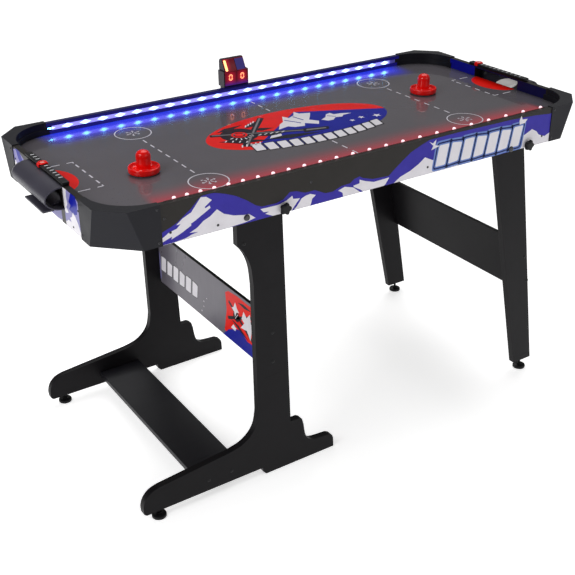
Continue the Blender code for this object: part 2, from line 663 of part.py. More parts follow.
def make_lock_knob(name, at, side):
    """Five-lobed knob outside the apron; its stud runs through the slot in the leg to a clamp washer."""
    point = (at[0], side * (APRON_Y + GAP), at[1])
    lobes, steps = 5, 40
    turns = [math.tau * i / steps for i in range(steps)]
    ring = [((0.0130 + 0.0019 * math.cos(lobes * t)) * math.cos(t),
             (0.0130 + 0.0019 * math.cos(lobes * t)) * math.sin(t)) for t in turns]
    levels = [(0.62, 0.0), (0.66, 0.0040), (0.97, 0.0055), (1.0, 0.0085), (0.94, 0.0125), (0.60, 0.0140)]
    bm = bmesh.new()
    rings = [[bm.verts.new((u * share, v * share, h)) for u, v in ring] for share, h in levels]
    bm.faces.new(rings[0])
    bm.faces.new(rings[-1])
    for lower, upper in zip(rings, rings[1:]):
        for i in range(steps):
            j = (i + 1) % steps
            bm.faces.new((lower[i], lower[j], upper[j], upper[i]))
    knob = finish(bm, name, charcoal_plastic(name))
    knob.location = point
    knob.rotation_mode = "QUATERNION"
    knob.rotation_quaternion = Vector((0, 0, 1)).rotation_difference(Vector((0, side, 0)))
    reach = APRON_Y + 2 * GAP - LEG_IN
    profile = [(0, 0.004), (SHANK_R, 0.004), (SHANK_R, -reach), (0.0078, -reach)]
    profile += [(0.0078, -reach - 0.0036), (0, -reach - 0.0036)]
    stud = turned(f"add_{name}_stud", None, profile, 20, point, (0, side, 0), cutter=True)
    boolean(knob, stud, "UNION")
    return knob


# ---------------------------------------------------------------- play pieces
def make_pusher(name, x, y):
    """Dished base with an upright rim and a round-topped grip, turned in one."""
    profile = [(0, 0.0520), (0.0058, 0.0515), (0.0108, 0.0494), (0.0146, 0.0452), (0.0166, 0.0385)]
    profile += [(0.0170, 0.0330), (0.0168, 0.0140), (0.0178, 0.0085), (0.0215, 0.0062), (0.0285, 0.0060)]
    profile += [(0.0318, 0.0085), (0.0330, 0.0130), (0.0352, 0.0138), (0.0366, 0.0125), (0.0368, 0.0070)]
    profile += [(0.0362, 0.0022), (0.0335, 0), (0, 0)]
    return turned(name, red_gloss(name), profile, 36, (x, y, FIELD_Z + 0.0021))


def make_pusher_felt(name, x, y):
    """Felt disc under a pusher."""
    profile = [(0, 0.0016), (0.0325, 0.0016), (0.0325, 0), (0, 0)]
    return turned(name, material(name, (0.05, 0.05, 0.05), 0.95), profile, 32, (x, y, FIELD_Z + 0.0002))


def make_puck():
    """Puck that has dropped in the right goal and leans on the hood's far wall."""
    high = PUCK_T
    profile = [(0, high), (0.0296, high), (0.0308, high - 0.0012), (0.0308, 0.0012), (0.0296, 0), (0, 0)]
    lean = math.radians(12)
    normal = (-math.sin(lean), 0, math.cos(lean))
    at = (0.6636 + 0.0308 * math.cos(lean), -0.0205, 0.7616 + 0.0308 * math.sin(lean))
    return turned("puck", material("puck", (0.80, 0.78, 0.76), 0.35), profile, 40, at, normal)


# ---------------------------------------------------------------- assembly
PUSHERS = {"left": (-0.473, -0.0655), "right": (0.437, 0.043)}

make_field()
make_plenum()
for side, label in ((-1, "near"), (1, "far")):
    make_side_apron(f"apron_{label}", side)
    make_i_leg(f"i_leg_{label}", side)
    make_straight_leg(f"straight_leg_{label}", side)
    make_pivot_bolt(f"pivot_bolt_{label}", PIVOT, side)
    make_pivot_bolt(f"hinge_bolt_{label}", HINGE, side)
    make_lock_knob(f"body_lock_knob_{label}", LOCK, side)
    make_lock_knob(f"leg_lock_knob_{label}", LEG_LOCK, side)
    make_leveller(f"leveller_left_{label}", FOOT_X, side, SKIRT_FOOT)
    make_leveller(f"leveller_right_{label}", LEG_FOOT_X, side, 0.028)
make_light_strip("light_strip_near", -1, (1.0, 0.10, 0.12))
make_light_strip("light_strip_far", 1, (0.25, 0.45, 1.0))
for side, label in ((-1, "left"), (1, "right")):
    make_end_apron(f"apron_{label}", side)
    make_batten(f"cross_batten_{label}", {-1: -0.575, 1: 0.190}[side])
    make_goal_box(f"goal_box_{label}", side > 0)
    make_score_bar(f"score_bar_{label}", side)
    make_pusher(f"pusher_{label}", *PUSHERS[label])
    make_pusher_felt(f"pusher_felt_{label}", *PUSHERS[label])
make_score_slider("score_slider_left", -1, 0.0225)
make_score_slider("score_slider_right", 1, 0.0800)
for sx, end in ((-1, "left"), (1, "right")):
    for sy, label in ((-1, "near"), (1, "far")):
        make_cap(f"corner_cap_{end}_{label}", sx, sy)
make_scoreboard()
make_scoreboard_lens()
make_scoreboard_button()
make_blower()
make_impeller()
make_power_inlet()
make_power_switch()
make_stand_boards()
make_crossbar()
make_puck()


def joint_empty(name, at, parent=None):
    """Empty on a folding axis; the pieces that fold with it hang from it."""
    empty = bpy.data.objects.new(name, None)
    empty.empty_display_size = 0.05
    empty.location = at
    PARTS.objects.link(empty)
    if parent:
        hang(empty, parent, Vector(parent.location))
    return empty


def hang(obj, parent, at):
    """Parents an object to an unturned empty that stands at the point, keeping the object's place."""
    obj.parent = parent
    obj.location = Vector(obj.location) - at


STAND = ("i_leg_", "leveller_left_", "lower_board", "printed_panel")
FOLDING = ("straight_leg_", "crossbar", "leveller_right_")
body_at = Vector((PIVOT[0], 0, PIVOT[1]))
legs_at = Vector((HINGE[0], 0, HINGE[1]))
body_empty = joint_empty("body_pivot", body_at)
legs_empty = joint_empty("legs_hinge", legs_at, body_empty)
for piece in [obj for obj in PARTS.objects if obj.type == "MESH" and not obj.name.startswith(STAND)]:
    if piece.name.startswith(FOLDING):
        hang(piece, legs_empty, legs_at)
    else:
        hang(piece, body_empty, body_at)
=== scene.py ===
"""Visual model of the air hockey table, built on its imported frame. Metres, +X along the table, +Z up."""

import math

import bmesh
import bpy
from mathutils import Matrix, Vector


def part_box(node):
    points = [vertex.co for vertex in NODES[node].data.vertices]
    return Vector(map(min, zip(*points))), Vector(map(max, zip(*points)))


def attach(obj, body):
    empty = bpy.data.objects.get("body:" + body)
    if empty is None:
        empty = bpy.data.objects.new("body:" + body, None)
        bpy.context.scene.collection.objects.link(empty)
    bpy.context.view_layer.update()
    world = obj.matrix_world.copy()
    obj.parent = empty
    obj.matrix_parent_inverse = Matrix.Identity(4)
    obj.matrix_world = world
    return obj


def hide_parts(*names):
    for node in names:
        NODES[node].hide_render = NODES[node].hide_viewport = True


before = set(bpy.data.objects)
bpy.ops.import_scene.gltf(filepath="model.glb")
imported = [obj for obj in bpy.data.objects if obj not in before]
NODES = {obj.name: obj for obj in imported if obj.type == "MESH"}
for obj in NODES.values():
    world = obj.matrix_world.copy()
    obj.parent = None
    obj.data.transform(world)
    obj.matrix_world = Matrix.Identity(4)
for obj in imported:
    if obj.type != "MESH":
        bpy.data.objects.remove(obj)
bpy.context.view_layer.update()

ENDS = {"left": -1, "right": 1}  # each end's sign on x
SIDES = {"near": -1, "far": 1}  # each side's sign on y

# places that the pieces share with the frame
FIELD_Z = 0.772  # playing surface
IN_X, IN_Y = 0.6688, 0.3028  # inner faces of the end and side aprons
OUT_X, OUT_Y = 0.6838, 0.3178  # their outer faces
APRON_TOP, SKIRT_Z = 0.8013, 0.711
LEG_OUT_Y = 0.3010  # outer faces of all legs
SCORE_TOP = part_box("score_bar_left")[1][2]

FAR_FIRST, FAR_STEP, FAR_COUNT = -0.5528, 0.0481, 23  # blue diodes along the far rail
NEAR_FIRST, NEAR_COUNT = -0.5177, 24  # red diodes along the near rail


# ---------------------------------------------------------------- camera, light, floor
def make_camera():
    """Stands where the photograph was taken from, with its small roll."""
    yaw, pitch, roll = -0.5777, -0.4877, -0.0086
    level = math.cos(pitch)
    forward = Vector((math.sin(-yaw) * level, math.cos(-yaw) * level, math.sin(pitch)))
    right = forward.cross(Vector((0, 0, 1))).normalized()
    up = right.cross(forward)
    across = right * math.cos(roll) + up * math.sin(roll)
    upward = up * math.cos(roll) - right * math.sin(roll)
    data = bpy.data.cameras.new("camera")
    data.lens, data.sensor_width = 62.39, 36.0
    data.clip_start, data.clip_end = 0.05, 60.0
    cam = bpy.data.objects.new("camera", data)
    turn = Matrix((across, upward, -forward)).transposed().to_4x4()
    cam.matrix_world = Matrix.Translation((-1.3582, -2.0121, 1.5956)) @ turn
    bpy.context.scene.collection.objects.link(cam)
    bpy.context.scene.camera = cam


def area_light(name, at, aim, size, power):
    data = bpy.data.lights.new(name, "AREA")
    data.shape, data.size, data.size_y = "RECTANGLE", size[0], size[1]
    data.energy = power
    light = bpy.data.objects.new(name, data)
    light.location = at
    light.rotation_euler = (Vector(aim) - Vector(at)).to_track_quat("-Z", "Y").to_euler()
    bpy.context.scene.collection.objects.link(light)


def make_studio():
    """Dim white surround, two broad lamps and a wide sun."""
    world = bpy.data.worlds.new("studio")
    world.use_nodes = True
    surround = world.node_tree.nodes["Background"].inputs
    surround["Color"].default_value = (1.0, 1.0, 1.0, 1)
    surround["Strength"].default_value = 0.16
    bpy.context.scene.world = world
    area_light("key", (-2.9, -0.6, 2.4), (0, 0, 0.6), (1.7, 1.7), 44)
    area_light("front", (1.4, -3.6, 2.2), (0, 0, 0.5), (2.4, 1.6), 15)
    sun = bpy.data.objects.new("sun", bpy.data.lights.new("sun", "SUN"))
    sun.data.energy, sun.data.angle = 1.6, math.radians(52)
    sun.rotation_euler = Vector((0.34, 0.42, 1.0)).to_track_quat("Z", "Y").to_euler()
    bpy.context.scene.collection.objects.link(sun)
    bpy.context.scene.view_settings.view_transform = "Standard"


def make_floor():
    """Pale floor, a little bright in itself so that shadows stay soft."""
    side = 14.0
    mesh = bpy.data.meshes.new("floor")
    corners = [(-side, -side, 0), (side, -side, 0), (side, side, 0), (-side, side, 0)]
    mesh.from_pydata(corners, [], [(0, 1, 2, 3)])
    ground = bpy.data.objects.new("floor", mesh)
    look = Look("floor_paint")
    paint = look.ramp(look.noise(3.0, 2.0), (0.93, 0.93, 0.93), (0.95, 0.95, 0.95))
    look.set({"Base Color": paint, "Roughness": 0.8, "Emission Color": (1, 1, 1), "Emission Strength": 0.60})
    mesh.materials.append(look.mat)
    bpy.context.scene.collection.objects.link(ground)


# ---------------------------------------------------------------- materials
class Look:
    """A node material with short ways to add nodes."""

    def __init__(self, name, **values):
        self.mat = bpy.data.materials.new(name)
        self.mat.use_nodes = True
        self.tree = self.mat.node_tree
        self.bsdf = self.tree.nodes["Principled BSDF"]
        self.place = None
        self.set(values)

    def set(self, values, node=None):
        """Links sockets and sets constants, on the shader unless another node is given."""
        node = node or self.bsdf
        for key, value in values.items():
            socket = node.inputs[key]
            if isinstance(value, bpy.types.NodeSocket):
                self.tree.links.new(value, socket)
            elif isinstance(value, tuple) and len(value) == 3 and len(socket.default_value) == 4:
                socket.default_value = (*value, 1.0)
            else:
                socket.default_value = value

    def add(self, kind, inputs, out=0, **settings):
        node = self.tree.nodes.new(kind)
        for key, value in settings.items():
            setattr(node, key, value)
        self.set(inputs, node)
        return node.outputs[out]

    def at(self):
        if not self.place:
            self.place = self.tree.nodes.new("ShaderNodeTexCoord").outputs["Object"]
        return self.place

    def stretched(self, scale):
        return self.add("ShaderNodeMapping", {"Vector": self.at(), "Scale": scale})

    def noise(self, scale, detail=4.0, rough=0.5, vector=None):
        inputs = {"Vector": vector or self.at(), "Scale": scale, "Detail": detail, "Roughness": rough}
        return self.add("ShaderNodeTexNoise", inputs)

    def cells(self, scale):
        return self.add("ShaderNodeTexVoronoi", {"Vector": self.at(), "Scale": scale})

    def axis(self, letter):
        return self.add("ShaderNodeSeparateXYZ", {"Vector": self.at()}, out="XYZ".index(letter))

    def math(self, operation, a, b=0.0, c=0.0):
        return self.add("ShaderNodeMath", {0: a, 1: b, 2: c}, operation=operation)

    def blend(self, a, b, share):
        """A share of a and the rest of b."""
        return self.math("MULTIPLY_ADD", a, share, self.math("MULTIPLY", b, 1 - share))

    def between(self, value, low, high, start=0.0, stop=1.0):
        """Low at start and high at stop, straight between."""
        inputs = {"Value": value, "From Min": start, "From Max": stop, "To Min": low, "To Max": high}
        return self.add("ShaderNodeMapRange", inputs)

    def span(self, value, start, stop):
        """0 at start and 1 at stop, smooth between; start may be the larger."""
        if start > stop:
            return self.math("SUBTRACT", 1.0, self.span(value, stop, start))
        inputs = {"Value": value, "From Min": start, "From Max": stop}
        return self.add("ShaderNodeMapRange", inputs, interpolation_type="SMOOTHSTEP")

    def band(self, value, low, high, soft):
        """1 between low and high, fading over soft on both sides."""
        rise = self.span(value, low - soft, low)
        fall = self.span(value, high + soft, high)
        return self.math("MULTIPLY", rise, fall)

    def ramp(self, fac, dark, light, low=0.3, high=0.7):
        """Dark up to low, light from high."""
        node = self.tree.nodes.new("ShaderNodeValToRGB")
        for end, where, color in zip(node.color_ramp.elements, (low, high), (dark, light)):
            end.position = where
            end.color = (*color, 1.0)
        self.set({"Fac": fac}, node)
        return node.outputs["Color"]

    def mix(self, fac, a, b):
        """Color a at 0, color b at 1."""
        return self.add("ShaderNodeMix", {0: fac, 6: a, 7: b}, out=2, data_type="RGBA")

    def bump(self, height, strength, distance, under=None):
        """Relief on the shader, over another relief where one is given."""
        inputs = {"Height": height, "Strength": strength, "Distance": distance}
        if under:
            inputs["Normal"] = under
        relief = self.add("ShaderNodeBump", inputs)
        self.set({"Normal": relief})
        return relief


def scaled(color, factor):
    return tuple(c * factor for c in color)


def moulded(name, dark, light, rough, spec):
    """Spark-textured moulded plastic with faint flow marks and rubbed patches."""
    look = Look(name)
    cloud = look.noise(9.0, 5.0, 0.6)
    fine = look.noise(1400.0, 2.0)
    shade = look.ramp(look.blend(fine, cloud, 0.25), dark, light)
    rub = look.span(look.noise(38.0, 6.0, 0.65), 0.60, 0.74)
    look.set({
        "Base Color": look.mix(look.math("MULTIPLY", rub, 0.25), shade, scaled(light, 1.7)),
        "Roughness": look.between(cloud, *rough, 0.3, 0.7),
        "Specular IOR Level": spec,
    })
    grainy = look.bump(fine, 0.35, 0.00006)
    look.bump(look.noise(160.0, 3.0), 0.12, 0.0002, grainy)
    return look


def film_board(name, dark, light, rough, spec):
    """Board wrapped in printed film: faint orange peel, pressed grain and a few long scuffs."""
    look = Look(name)
    cloud = look.noise(5.0, 4.0, 0.55)
    streak = look.noise(60.0, 4.0, 0.6, look.stretched((0.25, 1.0, 0.25)))
    scuff = look.span(look.noise(140.0, 3.0, 0.5, look.stretched((0.06, 1.0, 1.0))), 0.66, 0.74)
    look.set({
        "Base Color": look.ramp(look.blend(streak, cloud, 0.4), dark, light),
        "Roughness": look.math("MULTIPLY_ADD", scuff, 0.18, look.between(cloud, *rough, 0.3, 0.7)),
        "Specular IOR Level": spec,
    })
    peel = look.bump(look.noise(420.0, 2.0), 0.16, 0.00012)
    look.bump(streak, 0.08, 0.0003, peel)
    return look


def print_ink(name, color, spread=0.10, rough=0.30, coat=0.02):
    """Printed ink under a clear film: slight mottling and dot grain."""
    look = Look(name)
    mottle = look.noise(22.0, 5.0, 0.6)
    tones = look.blend(look.cells(1500.0), mottle, 0.2)
    high = tuple(min(1.0, c) for c in scaled(color, 1 + spread))
    look.set({
        "Base Color": look.ramp(tones, scaled(color, 1 - spread), high, 0.32, 0.72),
        "Roughness": look.between(mottle, rough * 0.8, rough * 1.3),
        "Coat Weight": coat,
        "Coat Roughness": 0.08,
        "Specular IOR Level": 0.10,
    })
    look.bump(look.noise(400.0, 2.0), 0.10, 0.0001)
    return look


def red_plastic():
    """Glossy injection-moulded red with faint swirls and fine hairline scratches."""
    look = Look("red_gloss_plastic")
    swirl = look.noise(24.0, 5.0, 0.6)
    hair = look.span(look.noise(700.0, 2.0, 0.5, look.stretched((1.0, 0.08, 1.0))), 0.62, 0.70)
    look.set({
        "Base Color": look.ramp(swirl, (0.84, 0.0035, 0.0025), (0.96, 0.0065, 0.0045)),
        "Roughness": look.math("MULTIPLY_ADD", hair, 0.16, 0.13),
        "Coat Weight": 0.30,
        "Coat Roughness": 0.06,
        "Specular IOR Level": 0.25,
        "Subsurface Weight": 0.08,
        "Subsurface Radius": (0.004, 0.001, 0.001),
    })
    look.bump(look.noise(90.0, 3.0), 0.06, 0.0003)
    return look


def dark_steel():
    """Blackened steel of bolts and screws."""
    look = Look("black_steel", Metallic=0.85)
    grain = look.noise(500.0, 3.0, 0.6)
    look.set({
        "Base Color": look.ramp(grain, (0.03, 0.03, 0.032), (0.10, 0.10, 0.105), 0.3, 0.75),
        "Roughness": look.between(grain, 0.28, 0.46),
    })
    look.bump(grain, 0.15, 0.00008)
    return look


def fibreboard():
    """Bare board of the air box and battens: strands and specks."""
    look = Look("dark_fibreboard", Roughness=0.82)
    strands = look.noise(320.0, 6.0, 0.7, look.stretched((0.5, 1.0, 1.0)))
    tones = look.blend(look.cells(700.0), strands, 0.35)
    look.set({"Base Color": look.ramp(tones, (0.040, 0.034, 0.028), (0.085, 0.072, 0.060), 0.28, 0.7)})
    look.bump(strands, 0.3, 0.0003)
    return look


def felt():
    look = Look("grey_felt", Roughness=0.95)
    fibres = look.noise(1100.0, 5.0, 0.75)
    tones = look.ramp(fibres, (0.035, 0.035, 0.036), (0.12, 0.12, 0.122), 0.3, 0.75)
    look.set({"Base Color": tones, "Sheen Weight": 0.4})
    look.bump(fibres, 0.6, 0.0004)
    return look


def puck_plastic():
    """Off-white plastic with grey rub marks, made as bright as under the goal's edge in the photograph by a
    painted glow.
    """
    look = Look("puck_plastic", Roughness=0.34)
    base = look.ramp(look.noise(40.0, 5.0, 0.6), (0.74, 0.73, 0.71), (0.84, 0.83, 0.82))
    mark = look.span(look.noise(180.0, 4.0, 0.6, look.stretched((0.2, 1.0, 1.0))), 0.64, 0.72)
    look.set({
        "Base Color": look.mix(look.math("MULTIPLY", mark, 0.3), base, (0.45, 0.44, 0.43)),
        # painted glow: the puck is no lamp, the emission only brightens it
        "Emission Color": (1.0, 0.97, 0.95),
        "Emission Strength": 0.22,
    })
    look.bump(look.noise(600.0, 2.0), 0.12, 0.0001)
    return look


def playing_film():
    """Glossy grey board with a soft sheen; painted light of the light strips on its two long edges, as glow
    and a darker tint.
    """
    look = Look("playing_surface")
    cloud = look.noise(3.0, 4.0, 0.55)
    tones = look.blend(look.noise(900.0, 2.0), cloud, 0.2)
    grey = look.ramp(tones, (0.092, 0.084, 0.096), (0.118, 0.108, 0.122))
    x, y = look.axis("X"), look.axis("Y")
    wave = look.math("MULTIPLY_ADD", look.noise(6.0, 2.0), 0.02, y)
    top_face = look.span(look.axis("Z"), FIELD_Z - 0.0012, FIELD_Z - 0.0004)

    def painted_wash(start, stop, left, right, soft, power):
        """Painted light spreading from a long edge, on the top face only."""
        along = look.math("MULTIPLY", look.band(x, left, right, soft), top_face)
        return look.math("POWER", look.math("MULTIPLY", look.span(wave, start, stop), along), power)

    # painted light: blue glow by the far rail and red glow by the near rail; the board is no lamp
    far = painted_wash(0.190, 0.296, -0.535, 0.500, 0.07, 1.4)
    near = painted_wash(-0.130, -0.262, -0.525, 0.595, 0.03, 1.7)
    glow = look.mix(near, look.mix(far, (0, 0, 0), (0.004, 0.040, 0.95)), (0.50, 0.006, 0.014))
    lit = look.math("MULTIPLY", look.math("ADD", near, far), 0.8)
    look.set({
        # painted light: the colour turns dark red-violet where the strips' glow falls
        "Base Color": look.mix(lit, grey, (0.045, 0.010, 0.030)),
        "Emission Color": glow,
        "Emission Strength": 0.85,
        "Roughness": look.between(cloud, 0.20, 0.30),
        "Coat Weight": 0.70,
        "Coat Roughness": 0.03,
        "Specular IOR Level": 0.12,
    })
    look.bump(look.noise(5.0, 2.0), 0.05, 0.002)
    return look


def light_strip_look(name, base, peak, strength, first, pitch, count, middle):
    """Clear-covered light strip: a bright blob at every diode, dimmer between."""
    look = Look(name, Roughness=0.22)
    x = look.axis("X")
    step = look.math("DIVIDE", look.math("SUBTRACT", x, first - pitch / 2), pitch)
    along = look.math("MULTIPLY", look.math("SUBTRACT", look.math("FRACT", step), 0.5), 2.5)
    across = look.math("DIVIDE", look.math("SUBTRACT", look.axis("Z"), middle), 0.0052)
    high = look.math("ABSOLUTE", look.math("MULTIPLY", across, 0.7))
    blob = look.span(look.math("ADD", look.math("ABSOLUTE", along), high), 1.0, 0.45)
    lit = look.band(x, first - 0.012, first + pitch * (count - 1) + 0.012, 0.012)
    power = look.math("MULTIPLY_ADD", blob, strength[1], strength[0])
    look.set({
        "Base Color": look.ramp(look.noise(300.0, 3.0), scaled(base, 0.5), base),
        "Emission Color": look.mix(blob, base, peak),
        "Emission Strength": look.math("MULTIPLY", lit, power),
    })
    return look


def painted_rail_glow(name, base, glow, strength):
    """Rail film with painted glow from its own light strip; the rail is no lamp."""
    look = film_board(name, scaled(base, 0.7), base, (0.25, 0.35), 0.32)
    z = look.axis("Z")
    # painted glow: full up to the strip's top, dimmer toward the rail's top
    low = look.math("MULTIPLY", look.span(z, 0.7725, 0.7805), 0.6)
    painted_wash = look.math("MAXIMUM", look.span(z, 0.8030, 0.7905), low)
    look.set({"Emission Color": look.mix(painted_wash, scaled(glow, 0.45), glow), "Emission Strength": strength})
    return look


def glowing(name, color, strength):
    look = Look(name, Roughness=0.3)
    tones = look.ramp(look.noise(500.0, 2.0), scaled(color, 0.85), color, 0.2, 0.8)
    look.set({"Base Color": color, "Emission Color": tones, "Emission Strength": strength})
    return look


def window_look():
    """Dark plum plastic with a red glow around each lit figure."""
    look = Look("scorer_window", Roughness=0.28)
    x, z = look.axis("X"), look.axis("Z")
    grain = look.noise(700.0, 3.0)

    def halo(cx, cz, wide, tall):
        dx = look.math("DIVIDE", look.math("SUBTRACT", x, cx), wide)
        dz = look.math("DIVIDE", look.math("SUBTRACT", z, cz), tall)
        square = look.math("ADD", look.math("MULTIPLY", dx, dx), look.math("MULTIPLY", dz, dz))
        return look.span(look.math("SQRT", square), 1.0, 0.05)

    glow = look.math("MAXIMUM", halo(-0.0235, 0.828, 0.021, 0.024), halo(0.0130, 0.828, 0.020, 0.024))
    glow = look.math("MAXIMUM", glow, halo(-0.0335, 0.862, 0.019, 0.030))
    rim = look.span(z, 0.822, 0.804)
    dim = look.math("MULTIPLY_ADD", rim, 0.5, 0.30)
    look.set({
        "Base Color": look.ramp(grain, (0.018, 0.004, 0.010), (0.032, 0.008, 0.018)),
        "Specular IOR Level": 0.25,
        "Emission Color": look.mix(rim, (0.34, 0.004, 0.016), (0.05, 0.01, 0.22)),
        "Emission Strength": look.math("MULTIPLY_ADD", glow, 1.0, dim),
    })
    look.bump(grain, 0.05, 0.0001)
    return look


def make_moulded_looks():
    """Plastics, boards and metal: name, dark tone, light tone, roughness and specular level."""
    plastics = {
        "cap": ("charcoal_moulded", (0.0062, 0.0062, 0.0092), (0.0108, 0.0108, 0.0160), (0.40, 0.55), 0.20),
        "hood": ("grey_moulded", (0.030, 0.028, 0.042), (0.046, 0.043, 0.062), (0.32, 0.45), 0.5),
        "black_part": ("black_moulded", (0.005, 0.005, 0.006), (0.010, 0.010, 0.011), (0.34, 0.5), 0.2),
        "scorer_case": ("scorer_case", (0.010, 0.006, 0.016), (0.018, 0.010, 0.026), (0.3, 0.42), 0.25),
    }
    boards = {
        "board": ("black_film_board", (0.0064, 0.0058, 0.0068), (0.0100, 0.0092, 0.0106), (0.34, 0.46), 0.10),
        # a lighter, bluish copy of the board film: painted sky reflection on the lower board's top; its higher
        # specular level is real
        "board_painted_reflection": ("black_film_shelf_painted_reflection", (0.007, 0.0068, 0.009), (0.011, 0.0108, 0.014), (0.36, 0.48), 0.22),
        "rail_film": ("charcoal_print_film", (0.014, 0.0118, 0.01), (0.021, 0.018, 0.016), (0.28, 0.38), 0.18),
        "navy_film": ("navy_rail_film", (0.005, 0.004, 0.040), (0.008, 0.007, 0.075), (0.25, 0.35), 0.15),
        "blue_film": ("blue_rail_film", (0.004, 0.004, 0.24), (0.006, 0.007, 0.38), (0.25, 0.35), 0.15),
        "panel": ("grey_print_film", (0.115, 0.106, 0.130), (0.150, 0.138, 0.165), (0.26, 0.36), 0.32),
    }
    looks = {key: moulded(*values) for key, values in plastics.items()}
    looks.update({key: film_board(*values) for key, values in boards.items()})
    looks.update(red=red_plastic(), steel=dark_steel(), fibre=fibreboard(), felt=felt())
    looks.update(puck=puck_plastic(), field=playing_film())
    return looks


def make_ink_looks():
    return {
        "ink_blue": print_ink("ink_blue", (0.041, 0.031, 0.345)),
        "ink_deep": print_ink("ink_deep_blue", (0.006, 0.011, 0.300)),
        "ink_navy": print_ink("ink_navy", (0.012, 0.020, 0.105)),
        "ink_white": print_ink("ink_ice_white", (0.78, 0.755, 0.80), 0.06),
        "ink_pale": print_ink("ink_pale_blue", (0.150, 0.235, 0.560)),
        "ink_lilac": print_ink("ink_lilac", (0.250, 0.235, 0.480)),
        "ink_red": print_ink("ink_red", (0.800, 0.008, 0.003)),
        "ink_dark": print_ink("ink_dark", (0.010, 0.010, 0.017)),
        "ink_line": print_ink("ink_line", (0.64, 0.62, 0.68), 0.06),
        "ink_grey": print_ink("ink_stick_grey", (0.20, 0.19, 0.20), 0.06),
        "pale_red": print_ink("pale_red_cap", (0.80, 0.30, 0.26), 0.05, 0.2, 0.3),
        "tick": print_ink("tick_white", (0.72, 0.72, 0.75), 0.05),
    }


def make_lit_looks():
    blue, ice = (0.30, 0.28, 1.0), (0.26, 0.62, 1.0)
    pink, pale = (0.10, 0.006, 0.010), (0.22, 0.03, 0.04)
    far_row = (FAR_FIRST, FAR_STEP, FAR_COUNT, 0.7870)
    near_row = (NEAR_FIRST, 0.0452, NEAR_COUNT, 0.800)
    return {
        "strip_far": light_strip_look("light_strip_blue", blue, ice, (1.05, 5.0), *far_row),
        "strip_near": light_strip_look("light_strip_red", pink, pale, (0.12, 0.10), *near_row),
        # painted glow of the strips on the rail films and the far rail's top
        "rail_glow_far": painted_rail_glow("rail_glow_far", (0.006, 0.005, 0.040), (0.006, 0.004, 0.20), 0.6),
        "rail_glow_near": painted_rail_glow("rail_glow_near", (0.040, 0.006, 0.010), (0.42, 0.012, 0.020), 0.5),
        "rail_glow_top": painted_rail_glow("rail_glow_top", (0.006, 0.006, 0.060), (0.004, 0.003, 0.10), 0.5),
        "dot_red": glowing("diode_pink", (1.0, 0.66, 0.72), 1.05),
        "digit": glowing("digit_orange", (1.0, 0.30, 0.14), 1.6),
        "amber": glowing("amber_bar", (1.0, 0.56, 0.20), 2.0),
        "diode_blue": glowing("diode_blue", (0.14, 0.52, 1.0), 13.0),
        "pane": glowing("scorer_pane", (0.045, 0.034, 0.20), 0.30),
        "window": window_look(),
    }


# ---------------------------------------------------------------- building pieces
def piece(name, bm, look, body):
    """Makes a piece of a bmesh in the table's frame, with its look, riding on a body."""
    bmesh.ops.recalc_face_normals(bm, faces=bm.faces)
    mesh = bpy.data.meshes.new(name)
    bm.to_mesh(mesh)
    bm.free()
    obj = bpy.data.objects.new(name, mesh)
    mesh.materials.clear()  # puts the faces of a node's copy back on the first slot
    mesh.materials.append(LOOKS[look].mat)
    bpy.context.scene.collection.objects.link(obj)
    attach(obj, body)
    return obj


def smooth(obj, angle=32.0):
    obj.data.shade_smooth()
    obj.data.set_sharp_from_angle(angle=math.radians(angle))
    return obj


def rounded(obj, width, segments=3, angle=32.0):
    mod = obj.modifiers.new("edges", "BEVEL")
    mod.width, mod.segments = width, segments
    mod.limit_method, mod.angle_limit = "ANGLE", math.radians(angle)
    mod.harden_normals = False
    obj.data.shade_smooth()
    even = obj.modifiers.new("normals", "WEIGHTED_NORMAL")
    even.keep_sharp = True
    return obj


def node_bmesh(name):
    """A node's own shape as clean faces: welded, with flat areas made whole."""
    bm = bmesh.new()
    bm.from_mesh(NODES[name].data)
    bmesh.ops.remove_doubles(bm, verts=bm.verts, dist=1e-5)
    bmesh.ops.dissolve_limit(bm, angle_limit=math.radians(0.5), verts=bm.verts, edges=bm.edges)
    return bm


def soft_copy(name, look, body, width=0.0008, segments=2, angle=32.0):
    """Stands for a node with the same shape and eased edges."""
    obj = piece(f"{name}_soft", node_bmesh(name), look, body)
    rounded(obj, width, segments, angle)
    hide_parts(name)
    return obj


def centre(low, high):
    return [(a + b) / 2 for a, b in zip(low, high)]


def add_box(bm, x, y, z):
    low, high = zip(x, y, z)
    size = [b - a for a, b in zip(low, high)]
    place = Matrix.Translation(centre(low, high)) @ Matrix.Diagonal((*size, 1.0))
    bmesh.ops.create_cube(bm, size=1.0, matrix=place)


def add_walls(bm, low, high):
    """Four-sided faces between two loops of vertices."""
    for i in range(len(low)):
        j = (i + 1) % len(low)
        bm.faces.new((low[i], low[j], high[j], high[i]))


def add_plate(bm, corners, lift):
    """A closed plate between a flat outline in space and the same outline moved by lift."""
    low = [bm.verts.new(p) for p in corners]
    high = [bm.verts.new(p + lift) for p in corners]
    bm.faces.new(low[::-1])
    bm.faces.new(high)
    add_walls(bm, low, high)


PLANES = {
    "xz": lambda u, v, w: (u, w, v),
    "xy": lambda u, v, w: (u, v, w),
    "yz": lambda u, v, w: (w, u, v),
}


def add_prism(bm, outline, plane, low, high):
    where = PLANES[plane]
    face = bm.faces.new([bm.verts.new(where(u, v, low)) for u, v in outline])
    swept = bmesh.ops.extrude_face_region(bm, geom=[face])
    moved = [item for item in swept["geom"] if isinstance(item, bmesh.types.BMVert)]
    bmesh.ops.translate(bm, verts=moved, vec=Vector(where(0, 0, high - low)))


